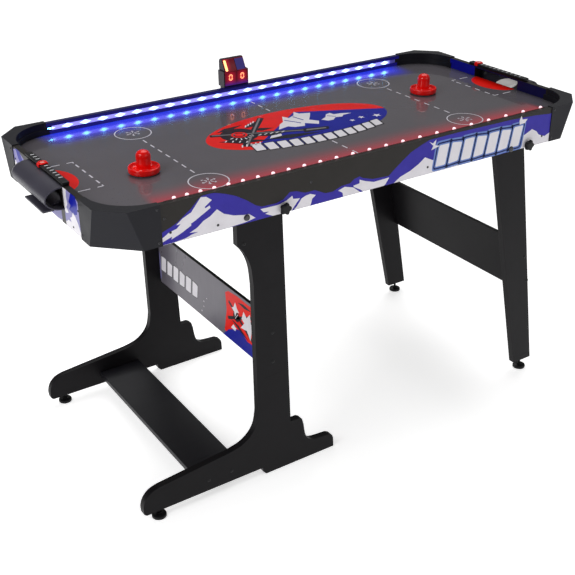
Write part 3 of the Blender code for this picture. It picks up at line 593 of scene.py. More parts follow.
def add_turned(bm, profile, steps, at=(0, 0, 0), direction=(0, 0, 1)):
    """A solid of revolution from (radius, height) points, about the direction through a point."""
    lean = Vector((0, 0, 1)).rotation_difference(Vector(direction)).to_matrix().to_4x4()
    turn = Matrix.Translation(at) @ lean
    angles = [math.tau * i / steps for i in range(steps)]
    rings = []
    for r, h in profile:
        points = [(r * math.cos(t), r * math.sin(t), h) for t in angles] if r > 1e-7 else [(0, 0, h)]
        rings.append([bm.verts.new(turn @ Vector(p)) for p in points])
    for a, b in zip(rings, rings[1:]):
        for i in range(steps):
            j = (i + 1) % steps
            loop = [a[i % len(a)], a[j % len(a)], b[j % len(b)], b[i % len(b)]]
            corners = list(dict.fromkeys(loop))
            if len(corners) > 2:
                bm.faces.new(corners)
    if len(rings[0]) > 1 and len(rings[-1]) > 1:
        add_walls(bm, rings[-1], rings[0])


def turned(name, profile, steps, at, look, body, angle):
    """A piece that is one solid of revolution, shaded smooth below the angle."""
    bm = bmesh.new()
    add_turned(bm, profile, steps, at)
    return smooth(piece(name, bm, look, body), angle)


# ---------------------------------------------------------------- flat outlines
def arc(cx, cy, rx, ry, start, stop, steps):
    turn = [math.radians(start + (stop - start) * i / steps) for i in range(steps + 1)]
    return [(cx + rx * math.cos(t), cy + ry * math.sin(t)) for t in turn]


def circle(cx, cy, r, steps):
    return arc(cx, cy, r, r, 0, 360, steps)[:-1]


def rect(u0, u1, v0, v1):
    return [(u0, v0), (u1, v0), (u1, v1), (u0, v1)]


def fillet(points, radius, steps=4):
    """The outline with every corner rounded by a quadratic curve."""
    out = []
    for i, p in enumerate(points):
        here = Vector(p)
        a, b = Vector(points[i - 1]) - here, Vector(points[(i + 1) % len(points)]) - here
        run = min(radius, a.length * 0.45, b.length * 0.45)
        start, stop = here + a.normalized() * run, here + b.normalized() * run
        for k in range(steps + 1):
            t = k / steps
            out.append(tuple(start * (1 - t) ** 2 + here * 2 * t * (1 - t) + stop * t * t))
    return out


def ring(cx, cy, outer, inner, steps=64):
    """Two half rings, so that each is one simple outline."""
    halves = []
    for start in (0, 180):
        out = arc(cx, cy, outer, outer, start, start + 180, steps // 2)
        halves.append(out + arc(cx, cy, inner, inner, start + 180, start, steps // 2))
    return halves


def bar(x0, y0, x1, y1, width):
    """A straight stroke of some width as its four corners."""
    a, b = Vector((x0, y0)), Vector((x1, y1))
    along = (b - a).normalized()
    side = Vector((-along.y, along.x)) * width / 2
    return [tuple(a + side), tuple(b + side), tuple(b - side), tuple(a - side)]


def bar_row(count, start, step, run, width):
    """Equal strokes, each a step on from the last."""
    (x, y), (dx, dy), (rx, ry) = start, step, run
    return [bar(x + dx * k, y + dy * k, x + rx + dx * k, y + ry + dy * k, width) for k in range(count)]


def dashes(x0, y0, x1, y1, count, share, width):
    """A dashed line: each dash takes its share of a step."""
    out = []
    a, b = Vector((x0, y0)), Vector((x1, y1))
    for i in range(count):
        p, q = a.lerp(b, (i + (1 - share) / 2) / count), a.lerp(b, (i + (1 + share) / 2) / count)
        out.append(bar(p.x, p.y, q.x, q.y, width))
    return out


def grown(quad, by):
    """A four-sided bar made larger by the same amount on every side."""
    signs = ((-1, -1), (1, -1), (1, 1), (-1, 1))
    return [(x + by * sx, y + by * sy) for (x, y), (sx, sy) in zip(quad, signs)]


def star(cx, cy, size, squash=1.0):
    radii = [size if k % 2 == 0 else size * 0.42 for k in range(10)]
    turns = [math.radians(90 + 36 * k) for k in range(10)]
    return [(cx + r * math.cos(t), cy + squash * r * math.sin(t)) for r, t in zip(radii, turns)]


def clip_line(points, a, b):
    """The part of a convex outline on the left of the line from a to b."""
    out = []
    a, b = Vector(a), Vector(b)
    side = lambda p: (b.x - a.x) * (p[1] - a.y) - (b.y - a.y) * (p[0] - a.x)
    for p, q in zip(points, points[1:] + points[:1]):
        sp, sq = side(p), side(q)
        if sp >= 0:
            out.append(p)
        if sp * sq < 0:
            t = sp / (sp - sq)
            out.append((p[0] + (q[0] - p[0]) * t, p[1] + (q[1] - p[1]) * t))
    return out


def band_clip(outlines, low, high, axis=0):
    """Outlines cut off outside low..high on one axis, by Sutherland and Hodgman's method."""
    kept = []
    for points in outlines:
        for limit, keep_above in ((low, True), (high, False)):
            out = []
            for p, q in zip(points, points[1:] + points[:1]):
                inside = lambda v: v[axis] >= limit if keep_above else v[axis] <= limit
                if inside(p):
                    out.append(p)
                if inside(p) != inside(q):
                    t = (limit - p[axis]) / (q[axis] - p[axis])
                    out.append((p[0] + (q[0] - p[0]) * t, p[1] + (q[1] - p[1]) * t))
            points = out
            if len(points) < 3:
                break
        if len(points) > 2:
            kept.append(points)
    return kept


def decal(name, outlines, plane, base, thick, look, body="table"):
    """Printed shapes as thin closed plates on a face."""
    bm = bmesh.new()
    for outline in outlines:
        add_prism(bm, outline, plane, base, base + thick)
    return piece(name, bm, look, body)


def decal_on(name, outlines, origin, along, up, thick, look):
    """Printed shapes as thin closed plates on a leaning plane of the table through the origin."""
    u, v = Vector(along).normalized(), Vector(up).normalized()
    bm = bmesh.new()
    for outline in outlines:
        add_plate(bm, [Vector(origin) + u * a + v * b for a, b in outline], u.cross(v) * thick)
    return piece(name, bm, look, "table")


def stack(name, layers, plane, face, sign, body="table"):
    """Ink layers on a face, each a little thicker than the one under it."""
    for i, (label, shapes, look) in enumerate(layers):
        thick = 0.00008 + 0.00006 * i
        decal(f"{name}_{label}", shapes, plane, face if sign > 0 else face - thick, thick, look, body)


# ---------------------------------------------------------------- the playing surface
def make_playing_surface():
    """Board with rows of real air holes through its top skin."""
    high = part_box("playfield")[1]
    x1, y1, clip = high[0], high[1], 0.046
    pitch, radius, sides, deep_z = 0.0254, 0.00075, 8, FIELD_Z - 0.003
    nx, ny = 48, 22
    ox, oy = -nx * pitch / 2, -ny * pitch / 2
    bm = bmesh.new()
    grid = {}

    def corner(i, j):
        if (i, j) not in grid:
            grid[i, j] = bm.verts.new((ox + i * pitch, oy + j * pitch, FIELD_Z))
        return grid[i, j]

    def hole(i, j):
        """One square of the grid with an eight-sided hole in it."""
        cx, cy = ox + (i + 0.5) * pitch, oy + (j + 0.5) * pitch
        turn = [math.radians(45 + 360 * k / sides) for k in range(sides)]
        top = [bm.verts.new((cx + radius * math.cos(t), cy + radius * math.sin(t), FIELD_Z)) for t in turn]
        deep = [bm.verts.new((v.co.x, v.co.y, deep_z)) for v in top]
        square = [corner(i + 1, j + 1), corner(i, j + 1), corner(i, j), corner(i + 1, j)]
        for k in range(4):
            a, b, c = top[2 * k], top[2 * k + 1], top[(2 * k + 2) % sides]
            bm.faces.new((square[k], square[(k + 1) % 4], c, b, a))
        add_walls(bm, top, deep)
        bm.faces.new(deep)

    for i in range(nx):
        for j in range(ny):
            hole(i, j)
    runs = [
        [grid[i, 0] for i in range(nx + 1)],
        [grid[nx, j] for j in range(ny + 1)],
        [grid[i, ny] for i in range(nx, -1, -1)],
        [grid[0, j] for j in range(ny, -1, -1)],
    ]
    outline = [(-x1, -y1 + clip), (-x1 + clip, -y1), (x1 - clip, -y1), (x1, -y1 + clip)]
    outline += [(x1, y1 - clip), (x1 - clip, y1), (-x1 + clip, y1), (-x1, y1 - clip)]
    outer = [bm.verts.new((x, y, FIELD_Z)) for x, y in outline]
    under = [bm.verts.new((x, y, FIELD_Z - 0.0034)) for x, y in outline]
    for k, run in enumerate(runs):
        a, b = outer[2 * k + 1], outer[(2 * k + 2) % 8]
        bm.faces.new([a, b] + run[::-1])
        bm.faces.new([outer[2 * k], a, run[0]])
    add_walls(bm, outer, under)
    bm.faces.new(under[::-1])
    field = piece("playing_surface", bm, "field", "table")
    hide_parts("playfield")


def star_mark(cx, cy, size):
    """A small six-armed ice star."""
    out = []
    for k in range(6):
        t = math.radians(60 * k + 12)
        u, v = size * math.cos(t), size * math.sin(t)
        out.append(bar(cx + 0.25 * u, cy + 0.25 * v, cx + u, cy + v, 0.0026))
        bx, by = cx + 0.62 * u, cy + 0.62 * v
        for turn in (-0.5, 0.5):
            tip = (bx + 0.3 * size * math.cos(t + turn), by + 0.3 * size * math.sin(t + turn))
            out.append(bar(bx, by, *tip, 0.0022))
    return out


def make_field_print():
    """White lines, circles and ice stars, and the red half ovals before the goals."""
    top, thick = FIELD_Z + 0.00002, 0.00010
    circle_x, circle_y, goal_x = 0.378, 0.193, 0.583
    lines, stars, creases = [], [], []
    for sx in (-1, 1):
        for sy in (-1, 1):
            lines += ring(sx * circle_x, sy * circle_y, 0.0470, 0.0443)
            stars += star_mark(sx * circle_x, sy * circle_y, 0.019)
        lines += dashes(sx * 0.380, -0.141, sx * 0.380, 0.141, 7, 0.52, 0.0034)
        lines += dashes(sx * goal_x, -0.078, sx * goal_x, 0.078, 4, 0.50, 0.0036)
        for sy in (-1, 1):
            y = sy * 0.0878
            lines.append(bar(sx * goal_x, y, sx * 0.597, y, 0.0034))
            lines.append(bar(sx * goal_x, sy * 0.0800, sx * goal_x, sy * 0.0890, 0.0034))
            lines.append(bar(sx * 0.614, y, sx * 0.642, y, 0.0034))
        creases.append([(sx * x, y) for x, y in arc(0.670, 0.0, 0.058, 0.078, 90, 270, 32)])
    lines += dashes(0, -0.248, 0, -0.124, 3, 0.52, 0.0036) + dashes(0, 0.140, 0, 0.256, 3, 0.52, 0.0036)
    decal("field_lines", lines, "xy", top, thick, "ink_line")
    decal("field_ice_stars", stars, "xy", top, thick, "ink_line")
    decal("goal_creases", creases, "xy", top, thick, "ink_red")


# outlines of the emblem, in metres from the middle of the playing surface
EMBLEM_ICE = [
    [
        (-0.063, 0.008), (-0.040, 0.040), (-0.022, 0.052), (0.000, 0.090), (0.008, 0.070),
        (0.030, 0.082), (0.046, 0.106), (0.050, 0.086), (0.078, 0.075), (0.060, 0.050), (0.044, 0.030),
        (0.060, 0.008), (0.046, -0.012), (0.020, 0.014), (0.008, -0.004), (-0.018, 0.002),
        (-0.030, 0.016),
    ],
    [
        (0.070, 0.012), (0.090, 0.022), (0.104, 0.040), (0.120, 0.045), (0.122, 0.030), (0.142, 0.026),
        (0.168, 0.013), (0.140, 0.012), (0.130, 0.002), (0.112, 0.008), (0.096, -0.006), (0.080, -0.004),
    ],
    [
        (-0.118, -0.036), (-0.096, -0.012), (-0.088, -0.022), (-0.072, -0.008), (-0.078, -0.030),
        (-0.096, -0.044),
    ],
]
# ends of each dark shard, and half its width
EMBLEM_SHARDS = [
    ((-0.234, 0.012), (-0.120, -0.046), 0.017), ((-0.206, 0.074), (-0.120, 0.092), 0.010),
    ((-0.128, 0.064), (-0.064, 0.098), 0.012), ((-0.130, -0.036), (0.020, -0.066), 0.014),
    ((-0.150, 0.010), (-0.030, -0.018), 0.019), ((-0.206, -0.044), (-0.140, -0.062), 0.010),
    ((-0.120, 0.040), (-0.066, 0.028), 0.011),
]


def emblem_layer(name, outlines, lift, thick, look):
    decal(f"emblem_{name}", outlines, "xy", FIELD_Z + lift, thick, look)


def make_emblem_ground():
    """Red oval with a blue part and ice."""
    oval = arc(0.0, 0.008, 0.264, 0.126, 0, 360, 96)[:-1]
    blue = clip_line(oval, (0.264, -0.004), (0.047, 0.104))
    blue = clip_line(blue, (0.047, 0.106), (-0.207, -0.092))
    cuts = [bar(-0.012, 0.062, 0.012, 0.020, 0.0045), bar(0.022, 0.074, 0.030, 0.036, 0.0040)]
    cuts.append(bar(0.100, 0.030, 0.116, 0.012, 0.0035))
    emblem_layer("red", [oval], 0.00004, 0.00012, "ink_red")
    emblem_layer("blue", [blue], 0.00008, 0.00016, "ink_deep")
    emblem_layer("ice", EMBLEM_ICE, 0.00012, 0.00020, "ink_white")
    emblem_layer("ice_cuts", cuts, 0.00016, 0.00024, "ink_deep")


def make_emblem_sticks():
    """Dark disc, crossed sticks and shards, with a puck, rays and short white slashes on them."""
    px, py = -0.166, 0.030
    sticks = [((-0.232, 0.062), (-0.010, -0.030)), ((-0.196, -0.048), (-0.052, 0.112))]
    dark = [circle(px, py, 0.048, 48)] + [fillet(bar(*a, *b, 0.0165), 0.004) for a, b in sticks]
    dark.append(fillet([(-0.022, -0.046), (0.046, -0.058), (0.056, -0.040), (-0.010, -0.018)], 0.006))
    for (x0, y0), (x1, y1), w in EMBLEM_SHARDS:
        size = math.hypot(x1 - x0, y1 - y0)
        nx, ny = (y0 - y1) / size * w, (x1 - x0) / size * w
        mx, my = x0 * 0.6 + x1 * 0.4, y0 * 0.6 + y1 * 0.4
        dark.append([(x0, y0), (mx + nx, my + ny), (x1, y1), (mx - nx, my - ny)])
    for k, part in enumerate(dark):
        step = 0.000004 * k  # parts overlap, so each lies a little higher
        emblem_layer(f"dark_{k}", [part], 0.00016 + step, 0.000236 + step, "ink_dark")
    slashes = bar_row(5, (-0.206, -0.052), (0.012, -0.001), (0.008, 0.013), 0.0034)
    slashes += bar_row(4, (-0.124, 0.070), (0.011, 0.006), (0.009, 0.012), 0.0034)
    slashes += bar_row(5, (-0.128, 0.000), (0.015, -0.003), (0.011, 0.004), 0.0032)
    slashes += bar_row(4, (-0.222, 0.002), (0.014, -0.010), (0.008, 0.008), 0.0030)
    inner = [fillet(bar(a[0] + 0.006, a[1], b[0] - 0.004, b[1], 0.0052), 0.002) for a, b in sticks]
    inner.append(fillet([(-0.010, -0.036), (0.042, -0.050), (0.046, -0.044), (-0.004, -0.028)], 0.003))
    rays = []
    for k in range(6):
        u, v = math.cos(math.radians(205 + 22 * k)), math.sin(math.radians(205 + 22 * k))
        rays.append(bar(px + 0.026 * u, py + 0.026 * v, px + 0.0375 * u, py + 0.0375 * v, 0.0030))
    puck = ring(px, py, 0.0205, 0.0150, 48) + [circle(px, py, 0.0110, 36)]
    emblem_layer("slashes", slashes, 0.00026, 0.00034, "ink_white")
    emblem_layer("sticks", inner, 0.00022, 0.00030, "ink_grey")
    emblem_layer("rays", rays, 0.00020, 0.00028, "ink_white")
    emblem_layer("puck", puck, 0.00024, 0.00032, "ink_red")


def make_emblem_bars():
    """Three stars, and a row of slanted bars along the oval's lower edge, smaller toward the right."""
    stars = [star(0.133, -0.037, 0.0085), star(0.167, -0.030, 0.0100), star(0.210, -0.040, 0.0130)]
    emblem_layer("stars", stars, 0.00012, 0.00020, "ink_white")
    bars, edges = [], []
    count, start, stop = 12, -0.190, 0.188
    wide, lean = 0.0245, 0.010
    for i in range(count):
        u = i / count
        x = start + u * (stop - start)
        low = -0.0930 - 0.1155 * u * (1 - u) - 0.004 * u
        tall, rise = 0.046 - 0.009 * u, 0.0035 * (2 * u - 1)
        foot = [(x, low), (x + wide, low + rise)]
        quad = foot + [(px + lean, pz + tall) for px, pz in reversed(foot)]
        bars.append(fillet(quad, 0.003))
        edges.append(grown(quad, 0.0030))
    emblem_layer("bar_edges", edges, 0.00020, 0.00028, "ink_dark")
    emblem_layer("bars", bars, 0.00026, 0.00034, "ink_white")


# ---------------------------------------------------------------- print on aprons and panel
# x and z on a long apron, in metres. Most points of these two lists are the output of a measuring script
# that turned positions read off the photograph into metres; they were not drawn by hand.
BLUE_PEAKS = [
    [
        (-0.575, 0.708), (-0.562, 0.737), (-0.558, 0.741), (-0.537, 0.748), (-0.524, 0.754),
        (-0.490, 0.777), (-0.474, 0.792), (-0.464, 0.799), (-0.450, 0.800), (-0.433, 0.799),
        (-0.408, 0.791), (-0.382, 0.780), (-0.356, 0.764), (-0.334, 0.747), (-0.318, 0.740),
        (-0.281, 0.739), (-0.262, 0.744), (-0.245, 0.757), (-0.228, 0.755), (-0.205, 0.746),
        (-0.179, 0.746), (-0.150, 0.732), (-0.129, 0.731), (-0.105, 0.739), (-0.081, 0.740),
        (-0.069, 0.748), (-0.054, 0.751), (-0.045, 0.745), (-0.016, 0.736), (0.031, 0.733),
        (0.043, 0.742), (0.068, 0.760), (0.096, 0.778), (0.126, 0.789), (0.152, 0.797), (0.240, 0.798),
        (0.420, 0.796), (0.460, 0.794), (0.500, 0.792), (0.549, 0.787), (0.575, 0.786), (0.575, 0.708),
    ],
]
WHITE_ICE = [
    [
        (-0.466, 0.797), (-0.453, 0.795), (-0.440, 0.785), (-0.458, 0.773), (-0.456, 0.770),
        (-0.446, 0.774), (-0.444, 0.768), (-0.482, 0.748), (-0.492, 0.744), (-0.491, 0.740),
        (-0.516, 0.728), (-0.539, 0.720), (-0.537, 0.726), (-0.559, 0.719), (-0.561, 0.727),
        (-0.543, 0.737), (-0.525, 0.741), (-0.516, 0.749), (-0.526, 0.749), (-0.511, 0.760),
        (-0.490, 0.769),
    ],
    [
        (-0.429, 0.761), (-0.413, 0.747), (-0.389, 0.737), (-0.365, 0.732), (-0.351, 0.731),
        (-0.335, 0.718), (-0.358, 0.714), (-0.400, 0.712), (-0.388, 0.706), (-0.565, 0.706),
        (-0.558, 0.712), (-0.532, 0.712), (-0.507, 0.714), (-0.491, 0.719), (-0.476, 0.721),
        (-0.496, 0.724), (-0.478, 0.731), (-0.462, 0.743), (-0.446, 0.749),
    ],
    [
        (-0.322, 0.735), (-0.275, 0.734), (-0.255, 0.739), (-0.239, 0.747), (-0.237, 0.739),
        (-0.219, 0.736), (-0.228, 0.727), (-0.245, 0.707), (-0.276, 0.706), (-0.289, 0.711),
        (-0.310, 0.721), (-0.300, 0.724), (-0.314, 0.726),
    ],
    [
        (-0.191, 0.740), (-0.176, 0.734), (-0.186, 0.727), (-0.189, 0.716), (-0.194, 0.706),
        (-0.243, 0.706), (-0.228, 0.718), (-0.214, 0.735), (-0.202, 0.739),
    ],
    [
        (-0.114, 0.730), (-0.096, 0.735), (-0.072, 0.728), (-0.050, 0.711), (-0.048, 0.706),
        (-0.099, 0.706), (-0.102, 0.722),
    ],
    [
        (-0.072, 0.732), (-0.054, 0.734), (-0.054, 0.743), (-0.038, 0.736), (-0.013, 0.728),
        (0.033, 0.729), (0.022, 0.714), (0.008, 0.706), (-0.036, 0.706), (-0.050, 0.717),
        (-0.069, 0.728),
    ],
    [
        (0.046, 0.711), (0.067, 0.723), (0.095, 0.731), (0.121, 0.743), (0.140, 0.756), (0.164, 0.744),
        (0.300, 0.722), (0.300, 0.706), (0.110, 0.706), (0.071, 0.711),
    ],
    [
        (0.440, 0.722), (0.462, 0.744), (0.478, 0.750), (0.494, 0.757), (0.512, 0.748), (0.520, 0.738),
        (0.543, 0.729), (0.562, 0.736), (0.575, 0.734), (0.575, 0.706), (0.430, 0.706),
    ],
]
# white strokes beside the row of bars
SIDE_SPIKES = [
    [
        (0.150, 0.7930), (0.162, 0.7860), (0.172, 0.7940), (0.170, 0.7800), (0.184, 0.7760),
        (0.158, 0.7700), (0.164, 0.7800),
    ],
    [
        (0.452, 0.8000), (0.456, 0.7900), (0.474, 0.7880), (0.466, 0.7790), (0.448, 0.7780),
        (0.446, 0.7880),
    ],
]
# y and z on an end apron
END_BLUE = [
    [
        (-0.224, 0.711), (-0.224, 0.780), (-0.196, 0.790), (-0.170, 0.800), (-0.128, 0.800),
        (-0.108, 0.786), (-0.086, 0.764), (-0.060, 0.740), (0.0, 0.726), (0.060, 0.740), (0.100, 0.762),
        (0.130, 0.790), (0.160, 0.800), (0.224, 0.790), (0.224, 0.711),
    ],
]
END_DEEP = [
    [
        (-0.152, 0.8005), (-0.136, 0.776), (-0.146, 0.770), (-0.134, 0.758), (-0.158, 0.754),
        (-0.178, 0.760), (-0.184, 0.784), (-0.176, 0.8005),
    ],
    [
        (0.118, 0.772), (0.134, 0.782), (0.152, 0.8005), (0.176, 0.8005), (0.166, 0.780), (0.146, 0.766),
        (0.130, 0.758),
    ],
]
END_WHITE = [
    [
        (-0.194, 0.711), (-0.190, 0.722), (-0.178, 0.740), (-0.166, 0.752), (-0.154, 0.757),
        (-0.146, 0.744), (-0.134, 0.738), (-0.142, 0.730), (-0.124, 0.730), (-0.112, 0.722),
        (-0.096, 0.724), (-0.084, 0.716), (-0.060, 0.711),
    ],
    [
        (-0.128, 0.800), (-0.124, 0.784), (-0.128, 0.768), (-0.120, 0.758), (-0.130, 0.748),
        (-0.114, 0.742), (-0.100, 0.756), (-0.087, 0.770), (-0.087, 0.800),
    ],
    [
        (0.070, 0.711), (0.100, 0.730), (0.116, 0.748), (0.132, 0.742), (0.150, 0.768), (0.166, 0.752),
        (0.186, 0.770), (0.210, 0.744), (0.210, 0.711),
    ],
]
# y and z on the printed panel
PANEL_RED = [
    [
        (-0.078, 0.306), (-0.092, 0.372), (-0.088, 0.420), (-0.104, 0.430), (-0.148, 0.434),
        (-0.200, 0.432), (-0.2815, 0.438), (-0.2815, 0.300), (-0.150, 0.296),
    ],
]
PANEL_BLUE = [
    [
        (-0.068, 0.290), (-0.100, 0.318), (-0.127, 0.332), (-0.160, 0.344), (-0.190, 0.326),
        (-0.2815, 0.330), (-0.2815, 0.290),
    ],
]
# painted lilac glow along the panel's far edge
PANEL_PAINTED_GLOW = [
    [
        (0.2815, 0.384), (0.2815, 0.298), (0.276, 0.306), (0.276, 0.376),
    ],
]
PANEL_ICE = [
    [
        (-0.176, 0.404), (-0.166, 0.380), (-0.178, 0.372), (-0.160, 0.352), (-0.190, 0.356),
        (-0.206, 0.336), (-0.212, 0.362), (-0.232, 0.372), (-0.210, 0.384), (-0.206, 0.410),
        (-0.190, 0.392),
    ],
    [
        (-0.112, 0.330), (-0.124, 0.344), (-0.138, 0.338), (-0.132, 0.328),
    ],
    [
        (-0.136, 0.412), (-0.128, 0.396), (-0.118, 0.390), (-0.130, 0.384), (-0.134, 0.370),
        (-0.142, 0.386), (-0.154, 0.390), (-0.144, 0.398),
    ],
]
PANEL_DARK = [
    [
        (-0.112, 0.356), (-0.150, 0.352), (-0.196, 0.330), (-0.160, 0.338),
    ],
    [
        (-0.150, 0.418), (-0.176, 0.424), (-0.214, 0.420), (-0.180, 0.414),
    ],
    [
        (-0.196, 0.398), (-0.214, 0.372), (-0.236, 0.360), (-0.220, 0.386),
    ],
]


def in_height(shapes):
    """Shapes kept just inside the height of the aprons."""
    return band_clip(shapes, SKIRT_Z + 0.0005, APRON_TOP - 0.0008, 1)


def turned_to(sign, outlines):
    return [[(-sign * u, v) for u, v in points] for points in outlines]


def shard_bars(start, count, pitch, base, climb, tall, wide, lean, grow):
    """A row of slanted bars, drawn larger by grow on every side."""
    out = []
    for i in range(count):
        x, z = start + i * pitch, base + i * climb
        notch = 0.004 if i % 2 else 0.0
        quad = [(x, z), (x + wide, z + notch / 2), (x + wide + lean, z + tall - notch), (x + lean, z + tall)]
        out.append(fillet(grown(quad, grow), max(0.0012, 0.003 + grow * 0.6)))
    return out


def make_side_print(side, sign):
    """Ice peaks along a long apron and a row of slanted bars; the far one carries them half-turned."""
    row = lambda grow: shard_bars(0.1750, 7, 0.0410, 0.7255, -0.0004, 0.0500, 0.0285, 0.0100, grow)
    layers = [
        ("blue", BLUE_PEAKS, "ink_blue"),
        ("white", WHITE_ICE, "ink_white"),
        ("glow", row(0.0125), "ink_pale"),
        ("edge", row(0.0085), "ink_navy"),
        ("rim", row(0.0045), "ink_pale"),
        ("bars", row(0.0012) + SIDE_SPIKES, "ink_white"),
    ]
    trim = lambda shapes: turned_to(sign, in_height(band_clip(shapes, -0.560, 0.560)))
    layers = [(label, trim(shapes), look) for label, shapes, look in layers]
    stack(f"print_{side}", layers, "xz", sign * OUT_Y, sign)


def make_end_print(side, sign):
    """Ice peaks on an end apron, around the goal box."""
    def trim(shapes):
        beside = band_clip(shapes, -0.197, -0.1080) + band_clip(shapes, 0.1080, 0.197)
        below = band_clip(band_clip(shapes, -0.0865, 0.0865), 0.0, 0.7472, 1)
        return turned_to(sign, in_height(beside + below))

    layers = [
        ("lilac", trim(END_BLUE), "ink_lilac"),
        ("deep", trim(END_DEEP), "ink_deep"),
        ("white", trim(END_WHITE), "ink_white"),
    ]
    stack(f"print_{side}", layers, "yz", sign * OUT_X, sign)


def make_panel_print():
    """Face of the printed panel: a row of slanted bars, and ice shards on a red and blue corner."""
    (face, _, _), (deep, _, top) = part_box("printed_panel")
    row = lambda grow: turned_to(1, shard_bars(-0.272, 6, 0.0362, 0.3330, 0.0, 0.0430, 0.0255, 0.0060, grow))
    strokes = [(-0.098, 0.352, -0.236, 0.412), (-0.104, 0.402, -0.226, 0.330)]
    dark = [fillet(bar(*stroke, 0.0085), 0.002) for stroke in strokes] + [circle(-0.140, 0.374, 0.0150, 28)]
    dots = bar_row(3, (-0.134, 0.366), (-0.005, 0.006), (-0.004, 0.004), 0.0022)
    specks = [star(0.028, 0.341, 0.0028), star(0.030, 0.325, 0.0022)]
    specks += [star(0.042, 0.307, 0.0032), star(0.012, 0.356, 0.0020)]
    layers = [
        ("red", PANEL_RED, "ink_red"),
        ("blue", PANEL_BLUE, "ink_deep"),
        # painted lilac glow along the far edge, in lilac ink
        ("edge", PANEL_PAINTED_GLOW, "ink_lilac"),
        ("dark", dark + PANEL_DARK + row(0.0022), "ink_dark"),
        ("bars", row(0.0010) + PANEL_ICE + dots + specks, "ink_white"),
    ]
    trim = lambda shapes: band_clip(band_clip(shapes, -0.2815, 0.2815), 0.2905, 0.4405, 1)
    layers = [(label, trim(shapes), look) for label, shapes, look in layers]
    stack("print_panel", layers, "yz", face, -1, "stand")
    edge = rect(face, deep, -0.2810, 0.2810)
    decal("panel_edge_band", [edge], "xy", top - 0.0006, 0.0008, "board", "stand")


# ---------------------------------------------------------------- rails, screws, scorer and loose parts
def make_rail_faces():
    """Film on the playing side of the rails: navy, brighter on the ends away from the player's side."""
    z0, z1, thick = FIELD_Z + 0.0006, APRON_TOP - 0.0010, 0.00008
    mouth, strip_low, strip_high, half = 0.0868, 0.7815, 0.7925, 0.560
    for end, sign in ENDS.items():
        base = sign * IN_X - (thick if sign > 0 else 0)
        near_side, far_side = rect(-0.193, -mouth, z0, z1), rect(mouth, 0.193, z0, z1)
        lintel = rect(-mouth, mouth, 0.7972, z1)
        decal(f"rail_{end}_navy", [near_side, lintel], "yz", base, thick, "navy_film")
        decal(f"rail_{end}_blue", [far_side], "yz", base, thick, "blue_film")
    # the long rails' films and the far rail's top carry painted glow from the strips
    far = [rect(-half, half, z0, strip_low), rect(-half, half, strip_high, z1)]
    decal("rail_far_film", far, "xz", IN_Y - thick, thick, "rail_glow_far")
    decal("rail_near_film", [rect(-half, half, z0, strip_high)], "xz", -IN_Y, thick, "rail_glow_near")
    top = rect(-0.5597, 0.5597, IN_Y + 0.0004, OUT_Y - 0.0012)
    decal("rail_far_top", [top], "xy", APRON_TOP, thick, "rail_glow_top")


def make_light_strips():
    """Clear-covered strips with a diode at every step; the near one stands over the rail's inner edge."""
    far_low, far_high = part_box("light_strip_far")
    near_low, near_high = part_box("light_strip_near")
    face, near_top = far_low[1], near_high[2] - 0.0010
    (z0, z1) = far_low[2], far_high[2]
    outlines = {
        "far": [(face + 0.0024, z0), (face + 0.0024, z1), (face, z1), (face, z0)],
        "near": rect(near_low[1], near_high[1], near_low[2], near_top),
    }
    for side, outline in outlines.items():
        low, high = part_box(f"light_strip_{side}")
        bm = bmesh.new()
        add_prism(bm, fillet(outline, 0.0008, 3), "yz", low[0], high[0])
        strip = smooth(piece(f"light_strip_{side}_cover", bm, f"strip_{side}", "table"))
        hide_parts(f"light_strip_{side}")
    r, dome = 0.0041, 0.0030
    turns = [math.radians(15 * k) for k in range(6)]
    profile = [(0, -dome), (r, -dome)] + [(r * math.cos(t), dome * math.sin(t)) for t in turns] + [(0, dome)]
    dots, chips = bmesh.new(), bmesh.new()
    for i in range(NEAR_COUNT):
        x = NEAR_FIRST + 0.02957 * i + 0.000709 * i * i  # set wider apart toward the right
        add_turned(dots, profile, 24, (x, -0.2990, near_top))
    smooth(piece("diodes_near", dots, "dot_red", "table"), 40)
    for i in range(FAR_COUNT):
        x = FAR_FIRST + FAR_STEP * i
        add_box(chips, (x - 0.0050, x + 0.0050), (face - 0.0005, face + 0.0008), (0.7845, 0.7891))
    rounded(piece("diodes_far", chips, "diode_blue", "table"), 0.0005, 2)


def add_screw(heads, cuts, at, axis, r):
    """A domed head, sunk a little into the face, with a cross of thin dark plates on it as painted shade of
    the cross recess.
    """
    normal = Vector(axis)
    at = Vector(at) - normal * 0.0006
    dome = [(0, 0), (r, 0), (r, 0.0007), (r * 0.82, 0.0015), (r * 0.4, 0.0019), (0, 0.0020)]
    add_turned(heads, dome, 16, at, axis)
    u = Vector((0, 0, 1)).cross(normal).normalized()
    v = normal.cross(u)
    # painted shade: two dark plates stand for the shade in the cross recess
    for a, b in ((u, v), (v, u)):
        base = at + normal * 0.00150
        signs = ((-1, -1), (1, -1), (1, 1), (-1, 1))
        add_plate(cuts, [base + a * (s * r * 0.55) + b * (t * r * 0.11) for s, t in signs], normal * 0.00056)


